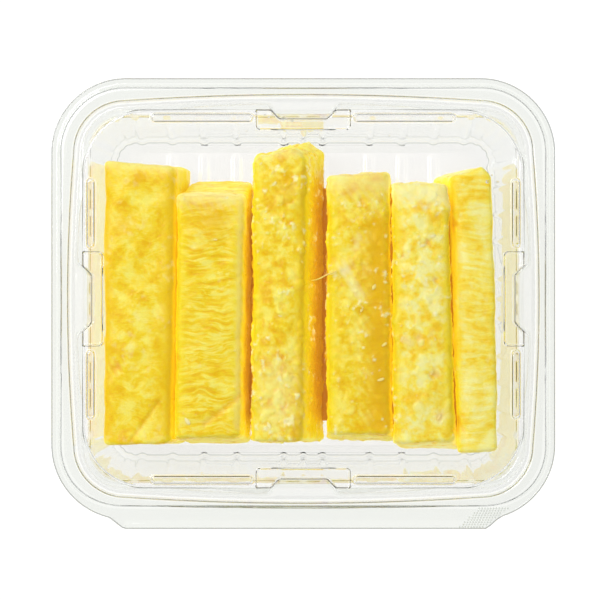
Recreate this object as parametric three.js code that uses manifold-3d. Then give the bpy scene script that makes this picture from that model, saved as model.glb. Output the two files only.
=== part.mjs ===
// A clear tray with its lid shut, holding six peeled pineapple spears side by side.
// Millimetres. +X runs across the spears, +Y away from the tear flange, +Z up from the base.

import * as THREE from "three";
import { mergeVertices } from "three/addons/utils/BufferGeometryUtils.js";
import Module from "manifold-3d";

const wasm = await Module();
wasm.setup();

// Outside of the rim
const RIM_HALF_X = 92.5;
const RIM_HALF_Y = 81.05;
const RIM_CENTRE_Y = 1.7;
const RIM_CORNER = 27.5;
const SHEET = 0.5;

// Heights of the formed sheet
const FLOOR_TOP = SHEET;
const LIP_TOP = 36.9;
const CREST_TOP = 41.2;
const LEDGE_TOP = 38.2;
const LID_EDGE_TOP = 39.1;
const LID_TOP = 47;
const BELOW_TRAY = -5;
const BELOW_LID = 30;

// Insets from the rim's edge, from the lip to the floor
const LIP_INNER = 2.4;
const CREST_OUTER = 4;
const CREST_INNER = 6.4;
const LEDGE_OUTER = 7.2;
const LEDGE_INNER = 13.6;
const WALL_HEAD = 14.2;
const FLUTE_HEAD = 14.7;
const WALL_FOOT = 19.2;
const FLOOR_EDGE = 20.3;
const WALL_HEAD_DROP = 1.2;
const FLUTE_HEAD_DROP = 4.2;
const WALL_FOOT_RISE = 2.5;
const WALL_CORNER = 14;
const SIDE_BOW = 2.2;
const FRONT_LIP_GAIN = 2.6;
const FRONT_FADE = 0.7;

// Insets of the lid, from its edge to its flat top
const LID_EDGE_OUTER = 7.7;
const LID_EDGE_INNER = 8.7;
const LID_SIDE_FOOT = 9.2;
const LID_SIDE_HEAD = 12.6;
const PLATEAU_EDGE = 13.3;
const PLATEAU_CORNER = 22;
const LID_FILLET = 0.9;

// Flutes pressed inwards along the wall, placed from the middle of a side
const FLUTE_WIDTH = 4.5;
const FLUTE_DEPTH = 1.1;
const MIDDLE_PITCH = 7.5;
const LONG_SIDE_FLUTES = [25.5, 38, 50.3, 62];
const SHORT_SIDE_FLUTES = [21.8, 31.8, 41.6, 50.4];
const CORNER_FLUTES = [0.2, 0.5, 0.8];
const CORNER_FLUTE_SHARE = 0.1;
const CREASE_SHARE = 0.45;

// Ribs pressed up across the floor, in line with the flutes
const RIB_HEIGHT = 0.8;
const RIB_WIDTH = 4.2;
const RIB_REACH = 56;

// Tear flange along the front edge: outline points from left to right
const FLANGE_OUTLINE = [
  [-76.5, -75.2],
  [-72.6, -77.6],
  [-69.2, -80.3],
  [-66.6, -82.3],
  [-65.2, -82.75],
  [67, -82.75],
  [68.8, -81.6],
  [71.1, -79.5],
  [74.9, -77],
  [78, -74.9],
];
const FLANGE_BACK = -75.6;
const FLANGE_BACK_STEP = 3;

// Ridged grip at the right end of the flange: outline of the patch and its slanting ridges
const GRIP_OUTLINE = [
  [57.4, -81.9],
  [66.6, -81.9],
  [70.4, -79.1],
  [74.2, -76.6],
  [75.4, -75.2],
  [64.6, -75.2],
];
const GRIP_HEIGHT = 0.3;
const GRIP_RIDGE_WIDTH = 0.5;
const GRIP_PITCH = 1.3;
const GRIP_RIDGES = 18;
const GRIP_START = 55;
const GRIP_RISE = 10;

// Stacking bars and latch pads on the lid
const BAR_HEIGHT = 1.2;
const BAR_WIDTH = 3.7;
const LONG_BAR = 37.8;
const SHORT_BAR = 25.6;
const LONG_BAR_AT = 36.6;
const SHORT_BAR_AT = 31;
const BAR_INSET = 15.7;
const PAD_LENGTH = 34;
const PAD_WIDTH = 6.4;
const PAD_CORNER = 2;
const PAD_DEPTH = 1.2;
const PAD_INSET = 16.6;
const NOTCH_DEPTH = 3.2;
const NOTCH_FOOT_DEPTH = 2.8;
const NOTCH_INNER = 8;
const NOTCH_OUTER = 12;
const NOTCH_STEPS = 3;
const LID_SIDE_SHARES = [0.95, 0.75, 0.55, 0.35];
const FEATURE_OVERRUN = 1;
const BAR_ROOT = 3;

// Spears: how finely they are divided, and how far a face may sink from flat
const SPEAR_RINGS = 15;
const POINTS_A_SIDE = 5;
const EDGE_ROUND = 0.12;
const SINK_MOST = 0.3;
const SPEAR_SEED = 4021;
const WAVE_COUNT = 5;
const SLOWEST_WAVE = 4;
const WAVE_SPREAD = 22;
const MOST_TURNS = 4;
const CORNER_CUT = 0.3;

// Spear ends: how much narrower and how proud they are, and how the rings crowd there
const END_TUCK = 0.09;
const END_SHARPNESS = 14;
const END_CROWDING = 0.35;
const END_PROUD = 0.4;
const BED_HEIGHT = 1.8;

// Divisions of outlines
const CORNER_STEPS = 9;
const SIDE_STEPS = 10;
const BAR_END_STEPS = 3;
const PAD_CORNER_STEPS = 2;
const SAME_POINT = 1e-4;
const QUARTER = Math.PI / 2;

// Seeded draw of numbers from 0 to 1.
function draws(seed) {
  let state = seed;
  return () => {
    state = (state * 1664525 + 1013904223) % 4294967296;
    return state / 4294967296;
  };
}

const smooth = (t) => {
  const c = Math.min(1, Math.max(0, t));
  return c * c * (3 - 2 * c);
};

// Stations run round a rounded rectangle, side 0 facing +X, then +Y, -X and -Y.
// On a side, along goes from -1 to 1; on a corner it goes from 0 to 1.
const onSide = (side, along) => ({ side, along, corner: false, flute: 0, notch: 0 });
const onCorner = (side, along) => ({ side, along, corner: true, flute: 0, notch: 0 });
const stationOrder = (s) => 2 * s.side + (s.corner ? 1 + s.along : (s.along + 1) / 2);
const halfAlong = (ring, side) => (side % 2 ? ring.halfX : ring.halfY) - ring.corner;

// How far a station lies on the front side, 1 along it and falling to 0 round its corners.
function frontShare(s) {
  if (s.side === 3 && !s.corner) return 1;
  if (s.side === 3) return 1 - smooth(s.along / FRONT_FADE);
  if (s.side === 2 && s.corner) return 1 - smooth((1 - s.along) / FRONT_FADE);
  return 0;
}

// Point of a ring at a station. The ring has halfX, halfY, corner, z, bow, flute and notch.
function ringPoint(ring, s) {
  const angle = s.side * QUARTER;
  const out = new THREE.Vector2(Math.cos(angle), Math.sin(angle));
  const along = new THREE.Vector2(-out.y, out.x);
  const halfOut = s.side % 2 ? ring.halfY : ring.halfX;
  const straight = halfAlong(ring, s.side);
  const point = new THREE.Vector2();
  const normal = out.clone();
  if (s.corner) {
    const turn = angle + s.along * QUARTER;
    normal.set(Math.cos(turn), Math.sin(turn));
    point.addScaledVector(out, halfOut - ring.corner).addScaledVector(along, straight);
    point.addScaledVector(normal, ring.corner);
  } else {
    const bow = ring.bow * (1 - s.along * s.along);
    point.addScaledVector(out, halfOut + bow).addScaledVector(along, s.along * straight);
  }
  const inward = ring.flute * s.flute + ring.notch * s.notch + ring.front * frontShare(s);
  point.addScaledVector(normal, -inward);
  return new THREE.Vector3(point.x, point.y + RIM_CENTRE_Y, ring.z);
}

// Rings from profile rows. A row is its inset and height with what shapes the ring there.
function makeRing(inset, z, extra = {}) {
  return {
    halfX: RIM_HALF_X - inset,
    halfY: RIM_HALF_Y - inset,
    corner: extra.corner ?? RIM_CORNER - inset,
    z,
    bow: extra.bow ?? 0,
    flute: extra.flute ?? 0,
    notch: extra.notch ?? 0,
    front: extra.front ?? 0,
    stations: extra.stations,
  };
}

// The same profile moved to the other side of the sheet.
function undersideRows(rows) {
  return rows.map((row, i) => {
    const normals = [];
    if (i > 0) normals.push(upNormal(rows[i - 1], row));
    const next = rows[i + 1];
    normals.push(next ? upNormal(row, next) : new THREE.Vector2(0, 1));
    const sum = normals.reduce((a, n) => a.add(n), new THREE.Vector2()).normalize();
    const reach = SHEET / sum.dot(normals[0]);
    const atEnd = i === 0;
    const inset = row.inset - (atEnd ? 0 : sum.x * reach);
    const extra = { ...row.extra };
    if (extra.corner !== undefined) extra.corner += row.inset - inset;
    return { inset, z: row.z - (atEnd ? SHEET : sum.y * reach), extra };
  });
}

const upNormal = (a, b) => new THREE.Vector2(a.z - b.z, b.inset - a.inset).normalize();

// Triangles between two loops that run the same way round, first outside, then inside.
function strip(outer, inner, faces) {
  const total = outer.length + inner.length;
  let i = 0;
  let j = 0;
  for (let step = 0; step < total; step += 1) {
    const a = outer[i % outer.length];
    const b = inner[j % inner.length];
    const nextA = i < outer.length ? orderAfter(outer, i) : Infinity;
    const nextB = j < inner.length ? orderAfter(inner, j) : Infinity;
    if (nextA <= nextB) {
      i += 1;
      faces.push(a.at, outer[i % outer.length].at, b.at);
    } else {
      j += 1;
      faces.push(a.at, inner[j % inner.length].at, b.at);
    }
  }
}

const orderAfter = (loop, i) => (i + 1 < loop.length ? loop[i + 1].order : loop[0].order + 8);

// Flat face over a loop, looking up or down.
function cap(loop, up, faces) {
  const contour = loop.map((p) => new THREE.Vector2(p.at.x, p.at.y));
  THREE.ShapeUtils.triangulateShape(contour, []).forEach(([a, b, c]) => {
    const [pa, pb, pc] = [loop[a].at, loop[b].at, loop[c].at];
    const turns = (pb.x - pa.x) * (pc.y - pa.y) - (pb.y - pa.y) * (pc.x - pa.x) > 0;
    faces.push(...(turns === up ? [pa, pb, pc] : [pa, pc, pb]));
  });
}

function solidFromFaces(faces) {
  const geometry = new THREE.BufferGeometry().setFromPoints(faces);
  return solidFromGeometry(geometry);
}

function solidFromGeometry(source) {
  const bare = source.index ? source.toNonIndexed() : source.clone();
  bare.deleteAttribute("normal");
  bare.deleteAttribute("uv");
  const merged = mergeVertices(bare, SAME_POINT);
  return new wasm.Manifold(
    new wasm.Mesh({
      numProp: 3,
      vertProperties: merged.attributes.position.array,
      triVerts: new Uint32Array(merged.index.array),
    }),
  );
}

function geometryFromSolid(solid) {
  const mesh = solid.getMesh();
  const positions = new Float32Array(mesh.numVert * 3);
  for (let i = 0; i < mesh.numVert; i += 1) {
    const start = i * mesh.numProp;
    positions.set(mesh.vertProperties.subarray(start, start + 3), i * 3);
  }
  const geometry = new THREE.BufferGeometry();
  geometry.setAttribute("position", new THREE.BufferAttribute(positions, 3));
  geometry.setIndex(new THREE.BufferAttribute(mesh.triVerts, 1));
  geometry.computeVertexNormals();
  return geometry;
}

// Everything below a formed surface, down to a flat bottom.
function solidUnder(rows, bottom) {
  const loops = rows.map((row) => {
    const ring = makeRing(row.inset, row.z, row.extra);
    return ring.stations.map((s) => ({ order: stationOrder(s), at: ringPoint(ring, s) }));
  });
  const foot = loops[0].map((p) => ({
    order: p.order,
    at: new THREE.Vector3(p.at.x, p.at.y, bottom),
  }));
  const faces = [];
  cap(foot, false, faces);
  strip(foot, loops[0], faces);
  for (let i = 1; i < loops.length; i += 1) strip(loops[i - 1], loops[i], faces);
  cap(loops[loops.length - 1], true, faces);
  return solidFromFaces(faces);
}

// Upright prism over an outline.
function prism(outline, low, high) {
  const shape = new THREE.Shape(outline.map(([x, y]) => new THREE.Vector2(x, y)));
  const geometry = new THREE.ExtrudeGeometry(shape, { depth: high - low, bevelEnabled: false });
  geometry.translate(0, 0, low);
  return solidFromGeometry(geometry);
}

// Outline of a bar with round ends, or of a pad with round corners, turned to face a side.
function roundedOutline({ length, width, radius, steps }, side, inset, along) {
  const angle = side * QUARTER;
  const out = new THREE.Vector2(Math.cos(angle), Math.sin(angle));
  const tangent = new THREE.Vector2(-out.y, out.x);
  const reach = (side % 2 ? RIM_HALF_Y : RIM_HALF_X) - inset;
  const points = [];
  for (let quarter = 0; quarter < 4; quarter += 1) {
    const alongSign = quarter === 0 || quarter === 3 ? 1 : -1;
    const outSign = quarter < 2 ? 1 : -1;
    for (let i = 0; i <= steps; i += 1) {
      const turn = (quarter + i / steps) * QUARTER;
      const l = along + alongSign * (length / 2 - radius) + radius * Math.cos(turn);
      const w = reach + outSign * (width / 2 - radius) + radius * Math.sin(turn);
      points.push([out.x * w + tangent.x * l, out.y * w + tangent.y * l + RIM_CENTRE_Y]);
    }
  }
  const distinct = points.filter((p, i) => {
    const next = points[(i + 1) % points.length];
    return Math.hypot(p[0] - next[0], p[1] - next[1]) > SAME_POINT;
  });
  return distinct.reverse();
}

// Stations of plain rings: even steps round each corner and along each side.
function plainStations() {
  const list = [];
  for (let side = 0; side < 4; side += 1) {
    for (let i = 0; i < SIDE_STEPS; i += 1) list.push(onSide(side, (2 * i) / SIDE_STEPS - 1));
    for (let i = 0; i < CORNER_STEPS; i += 1) list.push(onCorner(side, i / CORNER_STEPS));
  }
  return list;
}

// Stations of the fluted wall: four for each flute, at its two edges and its two creases.
function flutedStations(wallRing) {
  const list = [];
  for (let side = 0; side < 4; side += 1) {
    const straight = halfAlong(wallRing, side);
    const placed = side % 2 ? LONG_SIDE_FLUTES : SHORT_SIDE_FLUTES;
    const centres = [
      ...placed.map((p) => -p).reverse(),
      -MIDDLE_PITCH,
      0,
      MIDDLE_PITCH,
      ...placed,
    ];
    list.push(onSide(side, -1));
    centres.forEach((centre) => {
      const half = FLUTE_WIDTH / 2;
      const inner = half * CREASE_SHARE;
      [-half, -inner, inner, half].forEach((step, i) => {
        const along = (centre + step) / straight;
        if (Math.abs(along) >= 1) return;
        list.push({ ...onSide(side, along), flute: i === 1 || i === 2 ? 1 : 0 });
      });
    });
    list.push(onCorner(side, 0));
    CORNER_FLUTES.forEach((centre) => {
      const half = CORNER_FLUTE_SHARE;
      const inner = half * CREASE_SHARE;
      [-half, -inner, inner, half].forEach((step, i) => {
        list.push({ ...onCorner(side, centre + step), flute: i === 1 || i === 2 ? 1 : 0 });
      });
    });
  }
  return list;
}

// Stations of the lid: closer together where the side wall steps in for the latch.
function lidStations() {
  const list = [];
  const plateau = makeRing(PLATEAU_EDGE, LID_TOP, { corner: PLATEAU_CORNER });
  const flank = NOTCH_OUTER - NOTCH_INNER;
  const near = [];
  for (let i = 0; i <= NOTCH_STEPS; i += 1) near.push(NOTCH_OUTER - (flank * i) / NOTCH_STEPS);
  for (let side = 0; side < 4; side += 1) {
    const straight = halfAlong(plateau, side);
    const places = [...LID_SIDE_SHARES.map((share) => share * straight), ...near];
    const across = [...places.map((p) => -p), ...places.slice().reverse()];
    list.push(onSide(side, -1));
    across.forEach((p) => {
      const notch = 1 - smooth((Math.abs(p) - NOTCH_INNER) / flank);
      list.push({ ...onSide(side, p / straight), notch });
    });
    for (let i = 0; i < CORNER_STEPS; i += 1) list.push(onCorner(side, i / CORNER_STEPS));
  }
  return list;
}

// Tray: lip, crest, ledge for the lid, fluted wall and ribbed floor, with the tear flange.
function traySolid() {
  const stations = plainStations();
  const wallCorner = (inset) => WALL_CORNER + WALL_HEAD - inset;
  const wall = makeRing(WALL_HEAD, LEDGE_TOP, { corner: WALL_CORNER });
  const fluted = flutedStations(wall);
  const rimRow = (inset, z, extra) => ({ inset, z, extra: { stations, ...extra } });
  const wallRow = (inset, z, flute) => ({
    inset,
    z,
    extra: { stations: fluted, corner: wallCorner(inset), flute },
  });
  const rows = [
    rimRow(0, LIP_TOP, {}),
    rimRow(LIP_INNER, LIP_TOP, { front: FRONT_LIP_GAIN }),
    rimRow(CREST_OUTER, CREST_TOP, { front: FRONT_LIP_GAIN / 2 }),
    rimRow(CREST_INNER + SIDE_BOW, CREST_TOP, { bow: SIDE_BOW }),
    rimRow(LEDGE_OUTER + SIDE_BOW, LEDGE_TOP, { bow: SIDE_BOW }),
    rimRow(LEDGE_INNER, LEDGE_TOP, { corner: wallCorner(LEDGE_INNER) }),
    wallRow(WALL_HEAD, LEDGE_TOP - WALL_HEAD_DROP, 0),
    wallRow(FLUTE_HEAD, LEDGE_TOP - FLUTE_HEAD_DROP, FLUTE_DEPTH),
    wallRow(WALL_FOOT, FLOOR_TOP + WALL_FOOT_RISE, FLUTE_DEPTH),
    wallRow(FLOOR_EDGE, FLOOR_TOP, FLUTE_DEPTH),
  ];
  const above = joined(solidUnder(rows, BELOW_TRAY), ribSolids(FLOOR_TOP, 0));
  const hollows = ribSolids(FLOOR_TOP - SHEET, SHEET / 2);
  const below = joined(solidUnder(undersideRows(rows), BELOW_TRAY - FEATURE_OVERRUN), hollows);
  return joined(above.subtract(below), [flangeSolid(), gripSolid()]);
}

const joined = (solid, others) => others.reduce((sum, other) => sum.add(other), solid);
const carved = (solid, others) => others.reduce((rest, other) => rest.subtract(other), solid);

// Floor ribs with sloping flanks, narrowed by a margin for the hollow beneath them.
function ribSolids(base, margin) {
  const centres = [0, MIDDLE_PITCH, ...LONG_SIDE_FLUTES.slice(0, 3)];
  const half = RIB_WIDTH / 2 - margin;
  const reach = RIB_REACH - margin;
  const root = base - FEATURE_OVERRUN;
  const profile = new THREE.Shape([
    new THREE.Vector2(-half, root),
    new THREE.Vector2(half, root),
    new THREE.Vector2(half, base),
    new THREE.Vector2(half * CREASE_SHARE, base + RIB_HEIGHT),
    new THREE.Vector2(-half * CREASE_SHARE, base + RIB_HEIGHT),
    new THREE.Vector2(-half, base),
  ]);
  const both = centres.flatMap((c) => (c ? [-c, c] : [c]));
  return both.map((centre) => {
    const rib = new THREE.ExtrudeGeometry(profile, { depth: 2 * reach, bevelEnabled: false });
    rib.rotateX(QUARTER);
    rib.translate(centre, reach + RIM_CENTRE_Y, 0);
    return solidFromGeometry(rib);
  });
}

// Tear flange: a flat strip in the plane of the lip, joined to it behind its outline.
function flangeSolid() {
  const first = FLANGE_OUTLINE[0];
  const last = FLANGE_OUTLINE[FLANGE_OUTLINE.length - 1];
  const back = [
    [last[0] - FLANGE_BACK_STEP, FLANGE_BACK],
    [first[0] + FLANGE_BACK_STEP, FLANGE_BACK],
  ];
  return prism([...FLANGE_OUTLINE, ...back], LIP_TOP - SHEET, LIP_TOP);
}

// Grip: slanting ridges, kept where they lie over the outline of the patch.
function gripSolid() {
  const low = LIP_TOP - SHEET / 2;
  const near = Math.min(...GRIP_OUTLINE.map((p) => p[1]));
  const far = Math.max(...GRIP_OUTLINE.map((p) => p[1]));
  const ridges = [];
  for (let i = 0; i < GRIP_RIDGES; i += 1) {
    const left = GRIP_START + i * GRIP_PITCH;
    const right = left + GRIP_RIDGE_WIDTH;
    const ridge = [
      [left + GRIP_RISE, near],
      [right + GRIP_RISE, near],
      [right, far],
      [left, far],
    ];
    ridges.push(prism(ridge, low, LIP_TOP + GRIP_HEIGHT));
  }
  const patch = prism(GRIP_OUTLINE, low, LIP_TOP + GRIP_HEIGHT);
  return joined(ridges[0], ridges.slice(1)).intersect(patch);
}

// Lid: edge band in the tray's ledge, sloping side, flat top with bars and latch pads.
function lidSolid() {
  const stations = lidStations();
  const row = (inset, z, extra) => ({ inset, z, extra: { stations, ...extra } });
  const headCorner = PLATEAU_CORNER + PLATEAU_EDGE - LID_SIDE_HEAD;
  const foot = { bow: SIDE_BOW, notch: NOTCH_FOOT_DEPTH };
  const rows = [
    row(LID_EDGE_OUTER + SIDE_BOW, LID_EDGE_TOP, { bow: SIDE_BOW }),
    row(LID_EDGE_INNER + SIDE_BOW, LID_EDGE_TOP, { bow: SIDE_BOW }),
    row(LID_SIDE_FOOT + SIDE_BOW, LID_EDGE_TOP + LID_FILLET, foot),
    row(LID_SIDE_HEAD, LID_TOP - LID_FILLET, { corner: headCorner, notch: NOTCH_DEPTH }),
    row(PLATEAU_EDGE, LID_TOP, { corner: PLATEAU_CORNER, notch: NOTCH_DEPTH }),
  ];
  const padFloor = LID_TOP - PAD_DEPTH;
  const barTop = LID_TOP + BAR_HEIGHT;
  const outside = carved(solidUnder(rows, BELOW_LID), padSolids(padFloor, 0));
  const innerRows = undersideRows(rows);
  const innerSide = solidUnder(innerRows, BELOW_LID - FEATURE_OVERRUN);
  const inside = carved(innerSide, padSolids(padFloor - SHEET, SHEET));
  const above = joined(outside, barSolids(barTop, 0));
  return above.subtract(joined(inside, barSolids(barTop - SHEET, SHEET)));
}

// Eight stacking bars, two along each side, shrunk by a margin for the hollow beneath them.
function barSolids(top, margin) {
  const solids = [];
  for (let side = 0; side < 4; side += 1) {
    const length = (side % 2 ? LONG_BAR : SHORT_BAR) - 2 * margin;
    const place = side % 2 ? LONG_BAR_AT : SHORT_BAR_AT;
    const width = BAR_WIDTH - 2 * margin;
    [-place, place].forEach((along) => {
      const shape = { length, width, radius: width / 2, steps: BAR_END_STEPS };
      const outline = roundedOutline(shape, side, BAR_INSET, along);
      solids.push(prism(outline, LID_TOP - BAR_ROOT, top));
    });
  }
  return solids;
}

// Four latch pads, one in the middle of each side, grown by a margin for the sheet round them.
function padSolids(floor, margin) {
  const solids = [];
  for (let side = 0; side < 4; side += 1) {
    const length = PAD_LENGTH + 2 * margin;
    const width = PAD_WIDTH + 2 * margin;
    const shape = { length, width, radius: PAD_CORNER, steps: PAD_CORNER_STEPS };
    const outline = roundedOutline(shape, side, PAD_INSET, 0);
    solids.push(prism(outline, floor, LID_TOP + FEATURE_OVERRUN));
  }
  return solids;
}

// Spears from left to right: corners of the near end and of the far end, each as
// top left, top right, bottom right, bottom left; crown is the rise along the middle of the top.
const SPEARS = [
  {
    near: [[-74.6, -53, 27], [-49, -51.8, 28], [-44.5, -53.5, BED_HEIGHT], [-71.2, -53, BED_HEIGHT]],
    far: [[-74.4, 53.3, 27], [-47.7, 51, 28.5], [-42.6, 51.6, BED_HEIGHT], [-71.4, 52.5, BED_HEIGHT]],
    crown: 0.3,
  },
  {
    near: [[-48.5, -50.3, 28], [-23.2, -49.5, 28.5], [-19.8, -54, BED_HEIGHT], [-44, -54, BED_HEIGHT]],
    far: [[-47.2, 39.8, 28.5], [-21.7, 39.7, 29], [-19.2, 47.5, BED_HEIGHT], [-42, 47.5, BED_HEIGHT]],
    crown: 0.3,
  },
  {
    near: [[-19, -51.2, 28.5], [-0.1, -51, 29.5], [8.3, -53, BED_HEIGHT], [-18.9, -53, BED_HEIGHT]],
    far: [[-18.4, 53.4, 29], [0.9, 55.5, 30.5], [8.8, 60, BED_HEIGHT], [-18.4, 57.5, BED_HEIGHT]],
    crown: 0.8,
  },
  {
    near: [[8.7, -48.4, 28], [32.7, -48.8, 28], [36.4, -53.2, BED_HEIGHT], [9.7, -52, BED_HEIGHT]],
    far: [[9.2, 47.6, 28], [32.4, 48.8, 27.5], [32.8, 50, BED_HEIGHT], [9.8, 49, BED_HEIGHT]],
    crown: 1.2,
  },
  {
    near: [[33.3, -52.2, 28], [56.6, -51.4, 28], [60.3, -56, BED_HEIGHT], [37, -56, BED_HEIGHT]],
    far: [[33.2, 44.7, 28], [54.5, 44.1, 28.5], [48.6, 46, BED_HEIGHT], [33.5, 46, BED_HEIGHT]],
    crown: 1.2,
  },
  {
    near: [[57.3, -56, 26], [73, -54.9, 26], [71, -56.5, BED_HEIGHT], [60.9, -56.5, BED_HEIGHT]],
    far: [[55.2, 49.3, 26], [70.6, 49, 26], [70.3, 50, BED_HEIGHT], [49.4, 50.5, BED_HEIGHT]],
    crown: 0.6,
  },
];

// Square section with rounded corners: pairs of shares across and up, counter-clockwise.
function sectionShares() {
  const shares = [];
  const corners = [
    [1, 0],
    [1, 1],
    [0, 1],
    [0, 0],
  ];
  corners.forEach(([u, w], i) => {
    const [nextU, nextW] = corners[(i + 1) % corners.length];
    for (let step = 0; step < POINTS_A_SIDE; step += 1) {
      const t = EDGE_ROUND + ((1 - 2 * EDGE_ROUND) * step) / (POINTS_A_SIDE - 1);
      shares.push([u + (nextU - u) * t, w + (nextW - w) * t]);
    }
    shares.push(roundCorner(nextU, nextW));
  });
  return shares;
}

const roundCorner = (u, w) => {
  const back = 2 * EDGE_ROUND * CORNER_CUT;
  return [u + (0.5 - u) * back, w + (0.5 - w) * back];
};

// Point inside a spear's eight corners.
function spearPoint(spear, across, along, up) {
  const mix = (a, b, t) => a.clone().lerp(b, t);
  const corner = (end, i) => new THREE.Vector3(...spear[end][i]);
  const atEnd = (end) => {
    const top = mix(corner(end, 0), corner(end, 1), across);
    const bottom = mix(corner(end, 3), corner(end, 2), across);
    return mix(bottom, top, up);
  };
  const point = mix(atEnd("near"), atEnd("far"), along);
  const arch = 4 * across * (1 - across) * up;
  point.z += spear.crown * (arch - 1) * smooth((up - 0.5) * 2);
  return point;
}

// A spear as closed rings from end to end, with faces that sink unevenly.
function spearSolid(spear, draw) {
  const shares = sectionShares();
  const waves = Array.from({ length: WAVE_COUNT }, () => ({
    along: SLOWEST_WAVE + WAVE_SPREAD * draw(),
    around: 1 + Math.floor(MOST_TURNS * draw()),
    phase: 2 * Math.PI * draw(),
  }));
  const rings = [];
  for (let i = 0; i < SPEAR_RINGS; i += 1) {
    const share = i / (SPEAR_RINGS - 1);
    const along = share + (smooth(share) - share) * END_CROWDING;
    const tuck = END_TUCK * Math.pow(Math.abs(2 * share - 1), END_SHARPNESS);
    const middle = spearPoint(spear, 0.5, along, 0.5);
    rings.push(
      shares.map(([u, w], k) => {
        const across = 0.5 + (u - 0.5) * (1 - tuck);
        const up = 0.5 + (w - 0.5) * (1 - tuck);
        const point = spearPoint(spear, across, along, up);
        const turn = (2 * Math.PI * k) / shares.length;
        const sum = waves.reduce(
          (s, f) => s + Math.sin(f.along * share + f.around * turn + f.phase),
          0,
        );
        const sink = (SINK_MOST * (1 + sum / WAVE_COUNT)) / 2;
        const inward = middle.clone().sub(point).setY(0).normalize();
        return point.addScaledVector(inward, sink);
      }),
    );
  }
  const faces = [];
  for (let i = 1; i < rings.length; i += 1) ringWall(rings[i - 1], rings[i], faces);
  fan(rings[0], true, faces);
  fan(rings[rings.length - 1], false, faces);
  return solidFromFaces(faces);
}

function ringWall(near, far, faces) {
  near.forEach((point, k) => {
    const next = (k + 1) % near.length;
    faces.push(point, far[next], near[next]);
    faces.push(point, far[k], far[next]);
  });
}

// End of a spear: faces to a middle point that stands a little proud.
function fan(ring, isNear, faces) {
  const middle = ring.reduce((a, p) => a.add(p), new THREE.Vector3()).divideScalar(ring.length);
  middle.y += isNear ? -END_PROUD : END_PROUD;
  ring.forEach((point, k) => {
    const next = ring[(k + 1) % ring.length];
    faces.push(...(isNear ? [middle, point, next] : [middle, next, point]));
  });
}

// Clear sheet and moist flesh
const SHEET_ROUGHNESS = 0.08;
const SHEET_OPACITY = 0.3;
const TRAY_COLOUR = "#f2f4f1";
const LID_COLOUR = "#f4f6f4";
const FLESH_ROUGHNESS = 0.38;
const SPEAR_COLOURS = ["#f2d244", "#f4d64c", "#f3d03c", "#f5d440", "#f6dc62", "#f5cf28"];

const clearSheet = (name, colour) =>
  new THREE.MeshStandardMaterial({
    name,
    color: colour,
    roughness: SHEET_ROUGHNESS,
    metalness: 0,
    transparent: true,
    opacity: SHEET_OPACITY,
  });

const pack = new THREE.Group();
pack.name = "pineapple_spear_pack";

function addNode(name, solid, material) {
  const mesh = new THREE.Mesh(geometryFromSolid(solid), material);
  mesh.name = name;
  pack.add(mesh);
}

addNode("tub", traySolid(), clearSheet("tub_sheet", TRAY_COLOUR));
addNode("lid", lidSolid(), clearSheet("lid_sheet", LID_COLOUR));

const draw = draws(SPEAR_SEED);
SPEARS.forEach((spear, i) => {
  const material = new THREE.MeshStandardMaterial({
    name: `spear_${i + 1}_flesh`,
    color: SPEAR_COLOURS[i],
    roughness: FLESH_ROUGHNESS,
    metalness: 0,
  });
  addNode(`spear_${i + 1}`, spearSolid(spear, draw), material);
});

export default pack;
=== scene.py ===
"""Looks of a shut clear tray of pineapple spears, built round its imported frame.

The tray and its lid are sheets of formed clear PET: rings of points follow the rim, bends are
filleted, and node trees press the flutes, bars and pads into them. The spears are peeled and cut
flesh: eight-cornered volumes with relief, pits and torn fibre. Sizes are millimetres in the
classes and metres in the meshes.
"""

import logging
import math
from dataclasses import dataclass
from enum import Enum
from functools import partial
from itertools import product

import bpy
import numpy as np
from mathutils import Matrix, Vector
from mathutils.geometry import tessellate_polygon


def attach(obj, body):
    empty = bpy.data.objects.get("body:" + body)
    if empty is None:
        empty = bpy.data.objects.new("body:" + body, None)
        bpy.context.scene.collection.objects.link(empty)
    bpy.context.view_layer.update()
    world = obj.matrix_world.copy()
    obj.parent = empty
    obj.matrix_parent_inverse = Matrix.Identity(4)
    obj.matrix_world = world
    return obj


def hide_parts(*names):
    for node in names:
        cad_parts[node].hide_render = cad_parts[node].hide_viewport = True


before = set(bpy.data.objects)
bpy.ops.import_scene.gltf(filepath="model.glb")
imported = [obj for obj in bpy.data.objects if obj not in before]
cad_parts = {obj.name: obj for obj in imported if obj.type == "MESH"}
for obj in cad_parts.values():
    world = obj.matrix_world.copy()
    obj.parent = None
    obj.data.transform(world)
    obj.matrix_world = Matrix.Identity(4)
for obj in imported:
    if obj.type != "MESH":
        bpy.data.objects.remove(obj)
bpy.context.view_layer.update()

LOG = logging.getLogger("pineapple_pack")
MM = 0.001
BODY = "root"
QUARTER = math.pi / 2
FAR = 99.0  # Distance in mm that counts as out of reach of any form
SHARP_DEG = 50.0  # Bends sharper than this keep a hard edge
CORNER_GAP = 0.2  # Stations nearer than this to a side's end, in mm, are left out


class Edge(Enum):
    """Sides of the tray, in order round the rim."""

    RIGHT = 0
    BACK = 1
    LEFT = 2
    FRONT = 3


class Cut(Enum):
    """How a spear's top face was left by the knife."""

    PEELED = "outer flesh, rough where the skin came off"
    RADIAL = "cut across the fibres' fan"
    SMOOTH = "cut along the fibres"


# Colours and nodes


def linear(code: str) -> tuple[float, float, float, float]:
    """Turns an sRGB hex colour into linear values.

    Args:
        code: Colour such as "#f5d746".

    Returns:
        Red, green, blue and a full alpha, linear.
    """
    values = [int(code[i : i + 2], 16) / 255 for i in (1, 3, 5)]
    return (
        *[v / 12.92 if v <= 0.04045 else ((v + 0.055) / 1.055) ** 2.4 for v in values],
        1.0,
    )


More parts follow.
